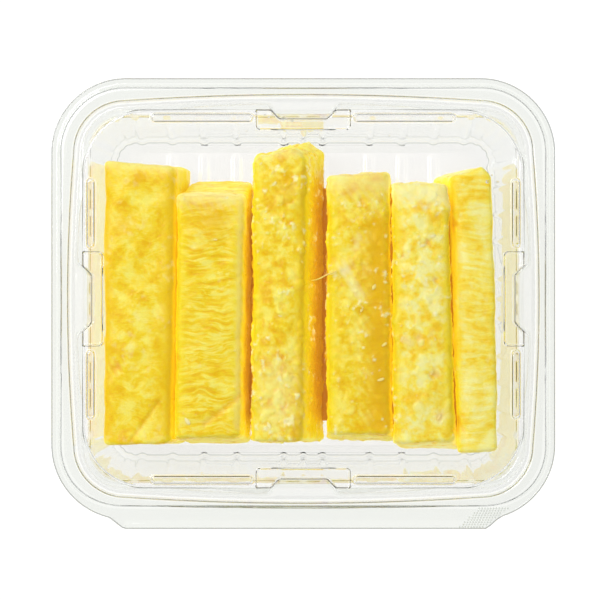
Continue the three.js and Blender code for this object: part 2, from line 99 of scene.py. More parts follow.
def add_node(
    tree: bpy.types.NodeTree, kind: str, inputs: dict | None = None, **settings: object
) -> bpy.types.Node:
    """Adds one node with its settings, values and links.

    Args:
        tree: Tree that gets the node.
        kind: Type name of the node.
        inputs: Values, sockets or nodes (for their first output), by the input's name or place.
        **settings: Properties of the node.

    Returns:
        The new node.
    """
    node = tree.nodes.new(kind)
    for name, value in settings.items():
        setattr(node, name, value)
    for key, value in (inputs or {}).items():
        if isinstance(value, bpy.types.Node):
            value = value.outputs[0]
        if isinstance(value, bpy.types.NodeSocket):
            tree.links.new(value, node.inputs[key])
        else:
            node.inputs[key].default_value = value
    return node


def new_material(name: str) -> tuple[bpy.types.Material, bpy.types.NodeTree]:
    """Makes an empty node material.

    Args:
        name: Name of the material.

    Returns:
        The material and its cleared tree.
    """
    material = bpy.data.materials.new(name)
    material.use_nodes = True
    material.node_tree.nodes.clear()
    return material, material.node_tree


def lay_over(
    tree: bpy.types.NodeTree, below: object, share: object, code: str
) -> bpy.types.NodeSocket:
    """Lays a colour over another.

    Args:
        tree: The material's tree.
        below: Socket or linear value of the colour below.
        share: Socket or node of the upper colour's share.
        code: Hex colour on top.

    Returns:
        Socket of the mixed colour.
    """
    inputs = {0: share, 6: below, 7: linear(code)}
    return add_node(tree, "ShaderNodeMix", inputs, data_type="RGBA").outputs[2]


# Finishes


class Finish:
    """A material of one principled shader. Each kind of finish gives that shader's inputs."""

    name: str

    def make(self) -> bpy.types.Material:
        """Builds the material.

        Returns:
            The finished material.
        """
        material, tree = new_material(self.name)
        shader = add_node(tree, "ShaderNodeBsdfPrincipled", self.inputs(tree))
        add_node(tree, "ShaderNodeOutputMaterial", {"Surface": shader})
        return material


@dataclass(frozen=True)
class FormedSheet(Finish):
    """Clear PET sheet, vacuum formed.

    The real sheet shows the eye its bends and cut edge in grey: here that is painted shade, a
    grey tint that stands in for the darker surroundings they refract and reflect. It is a little
    grey where it's seen at a slant, which is painted shade and partly the sheet's own absorption,
    and has faint waves where it stretched unevenly.
    """

    name: str
    thin: str = "#fefefe"
    band_shade: str = "#eef0ec"
    grazing_shade: str = "#dfe2de"
    grazing_shade_range: tuple = (0.2, 0.9)
    cut_edge_shade: str = "#a9aca9"
    cut_gauge: float = 1.6
    roughness: float = 0.02
    ior: float = 1.575
    wave_mm: float = 9.0
    wave_height_mm: float = 0.02

    def inputs(self, tree: bpy.types.NodeTree) -> dict:
        """Wires the sheet's painted-shade tints and its waves.

        Args:
            tree: The material's tree.

        Returns:
            Inputs of the shader.
        """
        spot = add_node(tree, "ShaderNodeTexCoord").outputs["Object"]
        inputs = {"Vector": spot, "Scale": 1 / (self.wave_mm * MM), "Detail": 2.0}
        wave = add_node(tree, "ShaderNodeTexNoise", inputs)
        inputs = {"Height": wave, "Strength": 1.0, "Distance": self.wave_height_mm * MM}
        bump = add_node(tree, "ShaderNodeBump", inputs)
        # Painted shade: a stored share greys the bands, bends and cut edge, and the facing greys
        # sheet seen at a slant
        gauge = add_node(tree, "ShaderNodeAttribute", attribute_name="gauge").outputs["Fac"]
        facing = add_node(tree, "ShaderNodeLayerWeight", {"Blend": 0.5}).outputs["Facing"]
        low, high = self.grazing_shade_range
        slant_shade = add_node(tree, "ShaderNodeMapRange", {0: facing, 1: low, 2: high})
        cut_shade = add_node(tree, "ShaderNodeMapRange", {0: gauge, 1: 1.0, 2: self.cut_gauge})
        tint = linear(self.thin)
        for share, code in ((gauge, self.band_shade), (slant_shade, self.grazing_shade), (cut_shade, self.cut_edge_shade)):
            tint = lay_over(tree, tint, share, code)
        return {
            "Base Color": tint,
            "Roughness": self.roughness,
            "IOR": self.ior,
            "Transmission Weight": 1.0,
            "Normal": bump,
        }


@dataclass(frozen=True)
class Flesh(Finish):
    """Raw pineapple flesh, cut and moist.

    The real flesh shows the eye a mottled yellow with paler fibres, soft light in its thin parts
    and a dull shine of juice. Its long sides carry painted shade, golden and deepening to amber in
    the grooves, and marked spots get painted shade in the deep tone. Light from the white table
    travels up through it, so the grooves between the spears aren't black: the faint emission on the
    long sides is painted light that stands for it. Fibres are drawn coarser than the real hair-fine
    ones, which would be lost at the photo's size.
    """

    name: str
    middle: str = "#f3d71e"
    deep: str = "#edc002"
    pale: str = "#f9e96c"
    fleck: str = "#fbf0b8"
    stain: str = "#ecb00c"
    gold_shade: str = "#efdb14"
    amber_shade: str = "#e2b820"
    tone_stops: tuple = (0.38, 0.48, 0.6)
    lit_share: float = 0.34
    mottle_mm: float = 6.0
    swirl_mottles: float = 1.6
    grain_mm: float = 1.1
    fibre_mm: float = 0.8
    fibre_stretch: float = 7.0
    fibre_slant_deg: float = 8.0
    fibre_share: float = 0.35
    chunk_share: float = 0.0
    warp_mm: float = 2.5
    bump: float = 0.5
    bump_mm: float = 0.5
    roughness: float = 0.34
    dull: float = 0.14
    wet: float = 0.1
    wet_range: tuple = (0.35, 0.65)
    specular: float = 0.3
    glow: float = 0.8
    glow_mm: float = 4.0
    glow_radius: tuple = (1.0, 0.88, 0.2)
    ior: float = 1.36

    def inputs(self, tree: bpy.types.NodeTree) -> dict:
        """Wires the mottling, the relief's own attributes, the painted shade and glow, and the
        shine.

        Args:
            tree: The material's tree.

        Returns:
            Inputs of the shader.
        """
        spot = add_node(tree, "ShaderNodeTexCoord").outputs["Object"]
        mottle = self.noise(tree, spot, self.mottle_mm, 4.0)
        fibre = self.noise(tree, self.fibre_space(tree, spot), self.fibre_mm, 3.0)
        blend = add_node(tree, "ShaderNodeMix", {0: self.fibre_share, 2: mottle, 3: fibre})
        ramp = add_node(tree, "ShaderNodeValToRGB", {0: blend})
        tones = ramp.color_ramp.elements
        tones.new(0.5)
        for tone, place, code in zip(tones, self.tone_stops, (self.deep, self.middle, self.pale)):
            tone.position, tone.color = place, linear(code)
        colour = ramp.outputs[0]
        # The gold, amber and shade layers are painted shade of the grooves and of spots on the
        # tops; chunk, fleck and stain are the flesh's own tones
        layers = (
            ("chunk", self.pale, self.chunk_share),
            ("gold_shade", self.gold_shade, 1.0),
            ("amber_shade", self.amber_shade, 1.0),
            ("painted_shade", self.deep, 1.0),
            ("fleck", self.fleck, 1.0),
            ("stain", self.stain, 1.0),
        )
        for attribute, code, most in layers:
            colour = lay_over(tree, colour, self.scaled(tree, attribute, most), code)
        grain = self.noise(tree, spot, self.grain_mm, 4.0)
        relief = add_node(tree, "ShaderNodeMix", {0: self.fibre_share, 2: grain, 3: fibre})
        inputs = {"Height": relief, "Strength": self.bump, "Distance": self.bump_mm * MM}
        bump = add_node(tree, "ShaderNodeBump", inputs)
        low, high = self.wet_range
        inputs = {0: mottle, 1: low, 2: high}
        inputs |= {3: self.roughness - self.wet, 4: self.roughness + self.dull}
        return {
            "Base Color": colour,
            "Roughness": add_node(tree, "ShaderNodeMapRange", inputs),
            "IOR": self.ior,
            "Specular IOR Level": self.specular,
            "Subsurface Weight": self.glow,
            "Subsurface Radius": self.glow_radius,
            "Subsurface Scale": self.glow_mm * MM,
            # Painted light: the emission, in the flesh's own colour, stands for the table's light
            # carried up through it
            "Emission Color": colour,
            "Emission Strength": self.scaled(tree, "lit", self.lit_share),
            "Normal": bump,
        }

    @staticmethod
    def scaled(tree: bpy.types.NodeTree, attribute: str, most: float) -> bpy.types.Node:
        """Reads an attribute of the mesh as a share.

        Args:
            tree: The material's tree.
            attribute: Name of the attribute.
            most: Share where the attribute is 1.

        Returns:
            Node of the share.
        """
        share = add_node(tree, "ShaderNodeAttribute", attribute_name=attribute).outputs["Fac"]
        return add_node(tree, "ShaderNodeMath", {0: share, 1: most}, operation="MULTIPLY")

    @staticmethod
    def noise(
        tree: bpy.types.NodeTree, spot: object, size: float, detail: float
    ) -> bpy.types.NodeSocket:
        """Adds noise of one size.

        Args:
            tree: The material's tree.
            spot: Socket or node of the place.
            size: Size of its patches in mm.
            detail: How finely they break up.

        Returns:
            Socket of the noise.
        """
        inputs = {"Vector": spot, "Scale": 1 / (size * MM), "Detail": detail, "Roughness": 0.6}
        return add_node(tree, "ShaderNodeTexNoise", inputs).outputs[0]

    def fibre_space(self, tree: bpy.types.NodeTree, spot: bpy.types.NodeSocket) -> bpy.types.Node:
        """Stretches places along the fibres, which bend a little.

        Args:
            tree: The material's tree.
            spot: Socket of the place.

        Returns:
            Node of the stretched place.
        """
        size = self.mottle_mm * self.swirl_mottles * MM
        inputs = {"Vector": spot, "Scale": 1 / size, "Detail": 1.0}
        swirl = add_node(tree, "ShaderNodeTexNoise", inputs)
        inputs = {0: swirl.outputs[1], 1: (0.5,) * 3}
        level = add_node(tree, "ShaderNodeVectorMath", inputs, operation="SUBTRACT")
        inputs = {0: level, 1: (4 * self.warp_mm * MM,) * 3, 2: spot}
        inputs = {
            "Vector": add_node(tree, "ShaderNodeVectorMath", inputs, operation="MULTIPLY_ADD"),
            "Rotation": (0.0, 0.0, math.radians(-self.fibre_slant_deg)),
            "Scale": (1 / self.fibre_stretch, 1.0, 1.0),
        }
        return add_node(tree, "ShaderNodeMapping", inputs)


@dataclass(frozen=True)
class Juice(Finish):
    """Pineapple juice drawn up between the spears: amber and wet, with a faint emission that is
    painted light for the table's light from below.
    """

    name: str
    colour: str = "#cc9424"
    lit: str = "#ffc030"
    glow: float = 0.11
    roughness: float = 0.2
    cloud: float = 0.4
    cloud_radius: tuple = (1.0, 0.85, 0.2)
    cloud_mm: float = 3.0
    ior: float = 1.35

    def inputs(self, tree: bpy.types.NodeTree) -> dict:
        """Gives the shader's inputs, which need no other node."""
        return {
            "Base Color": linear(self.colour),
            "Roughness": self.roughness,
            "IOR": self.ior,
            "Subsurface Weight": self.cloud,
            "Subsurface Radius": self.cloud_radius,
            "Subsurface Scale": self.cloud_mm * MM,
            # Painted light: a faint glow for the table's light coming up from below
            "Emission Color": linear(self.lit),
            "Emission Strength": self.glow,
        }


@dataclass(frozen=True)
class Water(Finish):
    """Condensed water: the eye sees clear beads with dark rims."""

    name: str = "condensed_water"
    ior: float = 1.333

    def inputs(self, tree: bpy.types.NodeTree) -> dict:
        """Gives the shader's inputs, which need no other node."""
        return {"Roughness": 0.0, "IOR": self.ior, "Transmission Weight": 1.0}


# Meshes


def make_mesh(name: str, points: np.ndarray, faces: list) -> bpy.types.Object:
    """Makes an object of a mesh given in millimetres.

    Args:
        name: Name of the piece.
        points: Vertices, in mm.
        faces: Vertex numbers of each face.

    Returns:
        The object, smooth shaded, linked to the scene.
    """
    mesh = bpy.data.meshes.new(name)
    mesh.from_pydata((np.asarray(points) * MM).tolist(), [], faces)
    mesh.validate()
    piece = bpy.data.objects.new(name, mesh)
    shade_smooth(piece)
    bpy.context.scene.collection.objects.link(piece)
    return piece


def store(piece: bpy.types.Object, name: str, values: np.ndarray) -> None:
    """Stores one number or vector for each vertex of a piece.

    Args:
        piece: Object with the mesh.
        name: Name of the attribute.
        values: One row for each vertex.
    """
    values = np.asarray(values, dtype=np.float32)
    kind, key = ("FLOAT_VECTOR", "vector") if values.ndim == 2 else ("FLOAT", "value")
    piece.data.attributes.new(name, kind, "POINT").data.foreach_set(key, values.ravel())


def smooth(t: np.ndarray | float) -> np.ndarray | float:
    """Eases a share from 0 to 1."""
    c = np.clip(t, 0.0, 1.0)
    return c * c * (3 - 2 * c)


class NodeShape:
    """A geometry node tree with named inputs, and its use on an object."""

    def __init__(self, name: str, sizes: dict[str, float]) -> None:
        """Starts a tree with a geometry, a number for each size, and a material.

        Args:
            name: Name of the tree.
            sizes: Names and values of its number inputs.
        """
        self.sizes = sizes
        self.tree = bpy.data.node_groups.new(name, "GeometryNodeTree")
        face = self.tree.interface
        face.new_socket("Geometry", in_out="INPUT", socket_type="NodeSocketGeometry")
        for size in sizes:
            face.new_socket(size, in_out="INPUT", socket_type="NodeSocketFloat")
        face.new_socket("Material", in_out="INPUT", socket_type="NodeSocketMaterial")
        face.new_socket("Geometry", in_out="OUTPUT", socket_type="NodeSocketGeometry")
        self.inputs = self.add("NodeGroupInput").outputs

    def add(self, kind: str, inputs: dict | None = None, **settings: object) -> bpy.types.Node:
        """Adds a node to the tree, as add_node does."""
        return add_node(self.tree, kind, inputs, **settings)

    def number(self, work: str, *values: object) -> bpy.types.NodeSocket:
        """Works out a number from others.

        Args:
            work: Operation of the node.
            *values: Numbers or sockets.

        Returns:
            The result's socket.
        """
        return self.add("ShaderNodeMath", dict(enumerate(values)), operation=work).outputs[0]

    def reading(self, name: str, kind: str = "FLOAT") -> bpy.types.NodeSocket:
        """Reads a stored attribute.

        Args:
            name: Name of the attribute.
            kind: FLOAT or FLOAT_VECTOR.

        Returns:
            The attribute's socket.
        """
        return self.add("GeometryNodeInputNamedAttribute", {0: name}, data_type=kind).outputs[0]

    def eased(self, value: object, low: object, high: object) -> bpy.types.NodeSocket:
        """Eases a number from 0 at low to 1 at high.

        Args:
            value: Number or socket.
            low: Value that gives 0.
            high: Value that gives 1.

        Returns:
            The share's socket.
        """
        inputs = {0: value, 1: low, 2: high, 3: 0.0, 4: 1.0}
        return self.add("ShaderNodeMapRange", inputs, interpolation_type="SMOOTHSTEP").outputs[0]

    def moved(self, offset: object) -> bpy.types.Node:
        """Moves the given points.

        Args:
            offset: Socket or node of the offset.

        Returns:
            Node of the moved geometry.
        """
        return self.add("GeometryNodeSetPosition", {0: self.inputs["Geometry"], "Offset": offset})

    def close(self, geometry: object) -> None:
        """Ends the tree with real geometry and its material.

        Args:
            geometry: Socket or node of the finished shape.
        """
        real = self.add("GeometryNodeRealizeInstances", {0: geometry})
        inputs = {0: real, 2: self.inputs["Material"]}
        self.add("NodeGroupOutput", {0: self.add("GeometryNodeSetMaterial", inputs)})

    def apply(self, piece: bpy.types.Object, material: bpy.types.Material) -> None:
        """Runs the tree on an object.

        Args:
            piece: Object that gets the modifier.
            material: Material of the result.
        """
        modifier = piece.modifiers.new(self.tree.name, "NODES")
        modifier.node_group = self.tree
        for item in self.tree.interface.items_tree:
            if item.item_type != "SOCKET" or item.in_out != "INPUT":
                continue
            if item.name in self.sizes:
                modifier[item.identifier] = float(self.sizes[item.name])
            elif item.name == "Material":
                modifier[item.identifier] = material

    def dress(self, piece: bpy.types.Object, finish: Finish) -> None:
        """Runs the tree on an object, and makes it a smooth plain mesh.

        Args:
            piece: Object that gets the result.
            finish: Its finish.
        """
        self.apply(piece, finish.make())
        settle(piece)
        shade_smooth(piece)


def settle(piece: bpy.types.Object) -> bpy.types.Object:
    """Turns a piece's modifiers into plain mesh.

    Args:
        piece: Object with live modifiers.

    Returns:
        The same object with a plain smooth mesh and no modifier.
    """
    graph = bpy.context.evaluated_depsgraph_get()
    mesh = bpy.data.meshes.new_from_object(piece.evaluated_get(graph), depsgraph=graph)
    piece.modifiers.clear()
    old = piece.data
    piece.data = mesh
    bpy.data.meshes.remove(old)
    mesh.name = piece.name
    return piece


def shade_smooth(piece: bpy.types.Object) -> None:
    """Shades every face of a piece smoothly."""
    faces = piece.data.polygons
    faces.foreach_set("use_smooth", np.ones(len(faces), dtype=bool))


def hand_over(piece: bpy.types.Object, slot: str, *nodes: str) -> None:
    """Fixes a piece to the body, and hides the nodes that it stands for.

    Args:
        piece: Finished piece.
        slot: The record's material slot; not used.
        *nodes: Nodes that the piece replaces.
    """
    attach(piece, BODY)
    if nodes:
        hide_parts(*nodes)
    LOG.info("%s: %d faces", piece.name, len(piece.data.polygons))


# Rings round the rim


@dataclass(frozen=True)
class Rim:
    """Outside of the rim, on which every ring of the tray and the lid is based."""

    half_x: float = 92.5
    half_y: float = 81.05
    centre_y: float = 1.7
    corner: float = 27.5
    front_fade: float = 0.7

    def straights(self, inset: float, corner: float) -> list[float]:
        """Gives half the straight length of each side of a ring, in the order of Edge."""
        half_x, half_y = self.half_x - inset - corner, self.half_y - inset - corner
        return [half_y, half_x, half_y, half_x]


RIM = Rim()
MOST_REACH = 0.48  # Share of a flank that the fillet at one end of it may take up


@dataclass(frozen=True)
class Row:
    """One bend of the sheet's profile: where it lies, what shapes the ring there, and its share of
    painted grey shade.
    """

    inset: float
    z: float
    corner: float
    fillet: float = 0.0
    bow: float = 0.0
    front: float = 0.0
    notch: float = 0.0
    press: float = 0.0
    gauge: float = 1.0
    cuts: int = 0

    @classmethod
    def at(cls, radius: float, inset: float, z: float, **shape: float) -> "Row":
        """Makes a row of which the corners have the same centres as a ring of that radius."""
        return cls(inset, z, radius - inset, **shape)

    def values(self) -> np.ndarray:
        """Gives the numbers that are interpolated between bends."""
        place = (self.inset, self.z, self.corner, self.bow, self.front, self.notch)
        return np.array([*place, self.press, self.gauge])


def fillet_rows(rows: list[Row], steps: int = 4) -> np.ndarray:
    """Rounds the bends of a profile and divides its long flanks.

    Args:
        rows: Bends from the outside in.
        steps: Rows in each rounded bend.

    Returns:
        One line of values for each ring.
    """
    lines = []
    for i, row in enumerate(rows):
        here = row.values()
        if row.fillet and 0 < i < len(rows) - 1:
            flanks = [rows[k].values() - here for k in (i - 1, i + 1)]
            reach = [min(row.fillet / np.hypot(*flank[:2]), MOST_REACH) for flank in flanks]
            first, last = (here + flank * share for flank, share in zip(flanks, reach))
            for t in np.linspace(0, 1, steps + 1):
                lines.append((1 - t) ** 2 * first + 2 * t * (1 - t) * here + t**2 * last)
        else:
            lines.append(here)
        if row.cuts:
            following = rows[i + 1].values()
            share = rows[i + 1].fillet / max(np.hypot(*(following - here)[:2]), 1e-6)
            end = here + (following - here) * (1 - min(share, MOST_REACH))
            start = lines[-1]
            for k in range(1, row.cuts + 1):
                lines.append(start + (end - start) * k / (row.cuts + 1))
    return np.array(lines)


@dataclass
class Stations:
    """Places round a ring, the same for every ring of a sheet."""

    side: np.ndarray
    corner: np.ndarray
    along: np.ndarray
    run: np.ndarray
    notch: np.ndarray
    to_flute: np.ndarray

    def frame_of(self) -> tuple[np.ndarray, np.ndarray, np.ndarray]:
        """Gives the outward and sideways directions of each side, and the ring's normal.

        Returns:
            Three arrays of directions in the plane.
        """
        angle = self.side * QUARTER
        out = np.stack([np.cos(angle), np.sin(angle)], 1)
        sideways = np.stack([-out[:, 1], out[:, 0]], 1)
        turn = angle + np.where(self.corner, self.along, 0.0) * QUARTER
        return out, sideways, np.stack([np.cos(turn), np.sin(turn)], 1)

    def front_share(self) -> np.ndarray:
        """Says how far each place lies on the front side."""
        fade = RIM.front_fade
        on_front = (self.side == Edge.FRONT.value) & ~self.corner
        right = (self.side == Edge.FRONT.value) & self.corner
        left = (self.side == Edge.LEFT.value) & self.corner
        share = np.where(on_front, 1.0, 0.0)
        share = np.where(right, 1 - smooth(self.along / fade), share)
        return np.where(left, 1 - smooth((1 - self.along) / fade), share)

    def ring(self, values: np.ndarray, gain: np.ndarray | float = 0.0) -> np.ndarray:
        """Places one ring.

        Args:
            values: The row's values.
            gain: Extra reach outwards at each place.

        Returns:
            Points in mm.
        """
        inset, z, corner, bow, front, notch = values[:6]
        out, sideways, normal = self.frame_of()
        even = self.side % 2 == 0
        half_out = np.where(even, RIM.half_x, RIM.half_y) - inset
        straight = np.where(even, RIM.half_y, RIM.half_x) - inset - corner
        bowed = bow * (1 - self.along**2)
        side_part = out * (half_out + bowed)[:, None] + sideways * (self.along * straight)[:, None]
        corner_part = out * (half_out - corner)[:, None] + sideways * straight[:, None]
        corner_part = corner_part + normal * corner
        flat = np.where(self.corner[:, None], corner_part, side_part)
        moved = gain - notch * self.notch - front * self.front_share()
        flat = flat + normal * moved[:, None]
        flat[:, 1] += RIM.centre_y
        return np.column_stack([flat, np.full(len(flat), z)])


def gather(
    side_places: list[np.ndarray], corner_places: list[np.ndarray], half: list[float]
) -> Stations:
    """Lines up the places of four sides and four corners.

    Args:
        side_places: For each side, mm from its middle.
        corner_places: For each corner, shares of its turn.
        half: For each side, half its straight length.

    Returns:
        The stations, in order round the ring.
    """
    side, corner, along, run = [], [], [], []
    for s in range(4):
        places = np.unique(np.round(side_places[s], 3))
        places = places[np.abs(places) < half[s] - CORNER_GAP]
        shares = np.unique(np.round(corner_places[s], 4))
        side += [s] * (len(places) + 1 + len(shares))
        corner += [False] * (len(places) + 1) + [True] * len(shares)
        along += [-1.0, *(places / half[s]), *shares]
        run += [-half[s], *places, *(half[s] + share for share in shares)]
    zeros = np.zeros(len(side))
    lists = [np.array(values) for values in (side, corner, along, run)]
    return Stations(*lists, zeros, zeros + FAR)


class SheetMesh:
    """Collects the rings and fills of one formed sheet."""

    def __init__(self) -> None:
        """Starts empty."""
        self.points: list[np.ndarray] = []
        self.faces: list[tuple[int, ...]] = []

    def stack(self, rings: list[np.ndarray]) -> list[np.ndarray]:
        """Adds rings of points, and joins each to the next by a band that faces up or out.

        Args:
            rings: Places in mm of each ring, counter-clockwise, from the outside in.

        Returns:
            The vertex numbers of each ring.
        """
        loops = []
        for ring in rings:
            loops.append(np.arange(len(ring)) + sum(map(len, self.points)))
            self.points.append(ring)
        for outer, inner in zip(loops, loops[1:]):
            round_face = (outer, np.roll(outer, -1), np.roll(inner, -1), inner)
            self.faces += zip(*[numbers.tolist() for numbers in round_face])
        return loops

    def fill(self, outer: np.ndarray, holes: list[np.ndarray]) -> None:
        """Fills a flat loop round its holes, facing up.

        Args:
            outer: Vertex numbers of the outer loop.
            holes: Vertex numbers of each hole's loop.
        """
        everything = np.concatenate(self.points)
        loops = [outer, *holes]
        numbers = np.concatenate(loops)
        flat = [[Vector((*everything[k][:2], 0.0)) for k in ring] for ring in loops]
        for a, b, c in tessellate_polygon(flat):
            pa, pb, pc = (everything[numbers[k]] for k in (a, b, c))
            turn = (pb[0] - pa[0]) * (pc[1] - pa[1]) - (pb[1] - pa[1]) * (pc[0] - pa[0])
            order = (a, b, c) if turn > 0 else (a, c, b)
            self.faces.append(tuple(int(numbers[k]) for k in order))


def rounded_bar(
    centre: tuple[float, float], half: tuple[float, float], radius: float, steps: int = 5
) -> np.ndarray:
    """Outline of a bar with rounded corners, counter-clockwise.

    Args:
        centre: Middle of the bar, in mm.
        half: Half its length in X and in Y.
        radius: Radius of its corners.
        steps: Divisions of each corner.

    Returns:
        Places in the plane.
    """
    points = []
    for quarter, (sx, sy) in enumerate([(1, 1), (-1, 1), (-1, -1), (1, -1)]):
        turn = (quarter + np.linspace(0, 1, steps + 1)) * QUARTER
        x = centre[0] + sx * (half[0] - radius) + radius * np.cos(turn)
        y = centre[1] + sy * (half[1] - radius) + radius * np.sin(turn)
        points.append(np.stack([x, y], 1))
    return np.concatenate(points)


# Tray


@dataclass
class Tray:
    """Formed tray: lip with its tear flange, crest, ledge, fluted wall and ribbed floor."""

    sheet: float = 0.45
    floor: float = 0.5
    lip: float = 36.9
    turn_down: float = 0.8
    edge_rows: int = 4
    crest: float = 41.2
    ledge: float = 38.2
    bow: float = 2.2
    front_gain: float = 2.6
    wall_corner: float = 14.0
    wall_head: float = 14.2
    flute_width: float = 4.5
    flute_depth: float = 0.9
    flute_crease: float = 0.1
    middle_pitch: float = 7.5
    long_flutes: tuple = (25.5, 38.0, 50.3, 62.0)
    short_flutes: tuple = (21.8, 31.8, 41.6, 50.4)
    corner_flutes: tuple = (0.2, 0.5, 0.8)
    corner_flute_share: float = 0.1
    # Stations across a flute, as shares of its half width, and how many turn a corner
    flute_marks: tuple = (-1.0, -0.82, -0.62, -0.42, 0.0, 0.42, 0.62, 0.82, 1.0)
    corner_stations: int = 24
    corner_press: float = 0.5
    rib_width: float = 4.2
    rib_reach: float = 56.0
    # Growth and rise of each ring of a rib, from its foot to its top
    rib_rows: tuple = (
        (0.35, 0.0),
        (0.05, 0.02),
        (-0.35, 0.3),
        (-0.75, 0.66),
        (-1.1, 0.79),
        (-1.4, 0.8),
    )
    flange_search: float = 12.0
    flange: tuple = (
        (-76.5, -75.2),
        (-72.6, -77.6),
        (-69.2, -80.3),
        (-66.6, -82.3),
        (-65.2, -82.75),
        (67.0, -82.75),
        (68.8, -81.6),
        (71.1, -79.5),
        (74.9, -77.0),
        (78.0, -74.9),
    )

    def stations(self) -> Stations:
        """Places the stations: closer across each flute and at the flange's corners.

        Returns:
            Stations with their distance to the nearest flute.
        """
        half = RIM.straights(self.wall_head, self.wall_corner)
        across = np.array(self.flute_marks)
        sides, corners = [], []
        for s in range(4):
            centres = self.flute_centres(s)
            centres = np.array([*[-c for c in centres[1:]], *centres])
            places = (centres[:, None] + across * self.flute_width / 2).ravel()
            sides.append(np.concatenate([places, np.arange(-60.0, 61.0, 6.0) + 0.4]))
            turns = np.linspace(0, 1, self.corner_stations, endpoint=False)
            flutes = np.array(self.corner_flutes)[:, None] + across * self.corner_flute_share
            corners.append(np.concatenate([turns, flutes.ravel()]))
        for s, sign in ((Edge.LEFT.value, -1), (Edge.FRONT.value, 1)):
            corners[s] = np.concatenate([corners[s], self.flange_turns(sign)])
        stations = gather(sides, corners, half)
        stations.to_flute = self.flute_distance(stations)
        return stations

    def flute_centres(self, side: int) -> list[float]:
        """Gives the middles of a side's flutes, in mm from its middle, for one half of it."""
        return [0.0, self.middle_pitch, *(self.long_flutes if side % 2 else self.short_flutes)]

    def flange_turns(self, sign: int) -> np.ndarray:
        """Finds the shares of a front corner's turn at which the flange's outline bends.

        Args:
            sign: -1 for the left corner and 1 for the right one.

        Returns:
            Shares from 0 to 1.
        """
        middle_x = sign * (RIM.half_x - RIM.corner)
        middle_y = RIM.centre_y - RIM.half_y + RIM.corner
        shares = []
        for x, y in self.flange:
            if sign * (x - middle_x) > 0:
                turn = math.atan2(sign * (x - middle_x), middle_y - y) / QUARTER
                shares.append(turn if sign > 0 else 1 - turn)
        return np.array(shares)

    def flute_distance(self, stations: Stations) -> np.ndarray:
        """Gives each station's distance from the nearest flute's middle, in mm."""
        distance = np.full(len(stations.side), FAR)
        for k, (s, at_corner) in enumerate(zip(stations.side, stations.corner)):
            if at_corner:
                shares = np.array(self.corner_flutes) - stations.along[k]
                scale = self.flute_width / 2 / self.corner_flute_share
                distance[k] = np.abs(shares).min() * scale
            else:
                centres = np.array(self.flute_centres(s))
                distance[k] = np.abs(np.abs(stations.run[k]) - centres).min()
        return distance

    def profile(self) -> list[Row]:
        """Gives the bends of the sheet from the lip's edge to the floor."""
        rim = partial(Row.at, RIM.corner)
        wall = partial(Row.at, self.wall_corner + self.wall_head)
        gain, bow, cut = self.front_gain, self.bow, FormedSheet.cut_gauge
        # The grey share of each row is painted shade: darkest at the cut edge and the line at the
        # wall's foot, light grey on the rim's bands, faint on the wall and floor
        return [
            rim(0.0, self.lip - self.turn_down, gauge=cut),
            rim(0.04, self.lip - 0.25, gauge=cut),
            rim(0.26, self.lip, gauge=cut),
            rim(0.5, self.lip),
            rim(0.9, self.lip, front=gain * 0.2),
            rim(2.4, self.lip, fillet=0.5, front=gain),
            rim(4.0, self.crest - 0.2, fillet=0.7, front=gain / 2),
            rim(5.6, self.crest, fillet=0.9, bow=bow * 0.6),
            rim(6.5 + bow, self.crest - 0.2, fillet=0.8, bow=bow),
            rim(7.2 + bow, self.ledge, fillet=0.4, bow=bow, gauge=0.4),
            wall(13.6, self.ledge, fillet=0.8, gauge=0.25),
            wall(14.3, 36.6, gauge=0.2, cuts=3),
            wall(14.75, 33.6, press=0.4, gauge=0.15, cuts=6),
            wall(19.2, 3.0, fillet=1.0, press=0.9, gauge=0.3),
            wall(20.4, self.floor, fillet=0.3, press=0.9, gauge=0.4),
            # Painted shade: the narrow grey line that the eye sees at the wall's foot
            wall(20.9, self.floor, press=0.9, gauge=1.4),
            wall(21.25, self.floor, press=0.85, gauge=0.3),
            wall(22.4, self.floor, bow=0.8, gauge=0.3),
        ]

    def flange_gain(self, stations: Stations) -> np.ndarray:
        """Gives how far the flange's outline lies outside the rim at each station.

        Args:
            stations: Places round the rim.

        Returns:
            Reach outwards, in mm.
        """
        _, _, normal = stations.frame_of()
        edge = stations.ring(self.profile()[0].values())[:, :2]
        start = edge - normal * self.flange_search
        gain = np.zeros(len(edge))
        outline = np.array(self.flange)
        for a, b in zip(outline[:-1], outline[1:]):
            along = b - a
            cross = normal[:, 0] * along[1] - normal[:, 1] * along[0]
            cross = np.where(np.abs(cross) < 1e-9, 1e-9, cross)
            gap = a - start
            reach = (gap[:, 0] * along[1] - gap[:, 1] * along[0]) / cross
            share = (gap[:, 0] * normal[:, 1] - gap[:, 1] * normal[:, 0]) / cross
            hit = (share >= -1e-6) & (share <= 1 + 1e-6) & (reach > 0)
            gain = np.where(hit, np.maximum(gain, reach - self.flange_search), gain)
        return gain

    def presser(self) -> NodeShape:
        """Builds the node tree that presses the flutes into the wall.

        Returns:
            The tree.
        """
        sizes = {
            "Flute half width": self.flute_width / 2 * MM,
            "Flute crease": self.flute_width / 2 * self.flute_crease * MM,
            "Flute depth": self.flute_depth * MM,
        }
        shape = NodeShape("press_flutes", sizes)
        width, crease, most = (shape.inputs[name] for name in sizes)
        share = shape.eased(shape.reading("to_flute"), width, crease)
        depth = shape.number("MULTIPLY", share, shape.reading("press"))
        inward = shape.number("MULTIPLY", shape.number("MULTIPLY", depth, most), -1.0)
        inputs = {0: shape.reading("outward", "FLOAT_VECTOR"), 3: inward}
        shape.close(shape.moved(shape.add("ShaderNodeVectorMath", inputs, operation="SCALE")))
        return shape

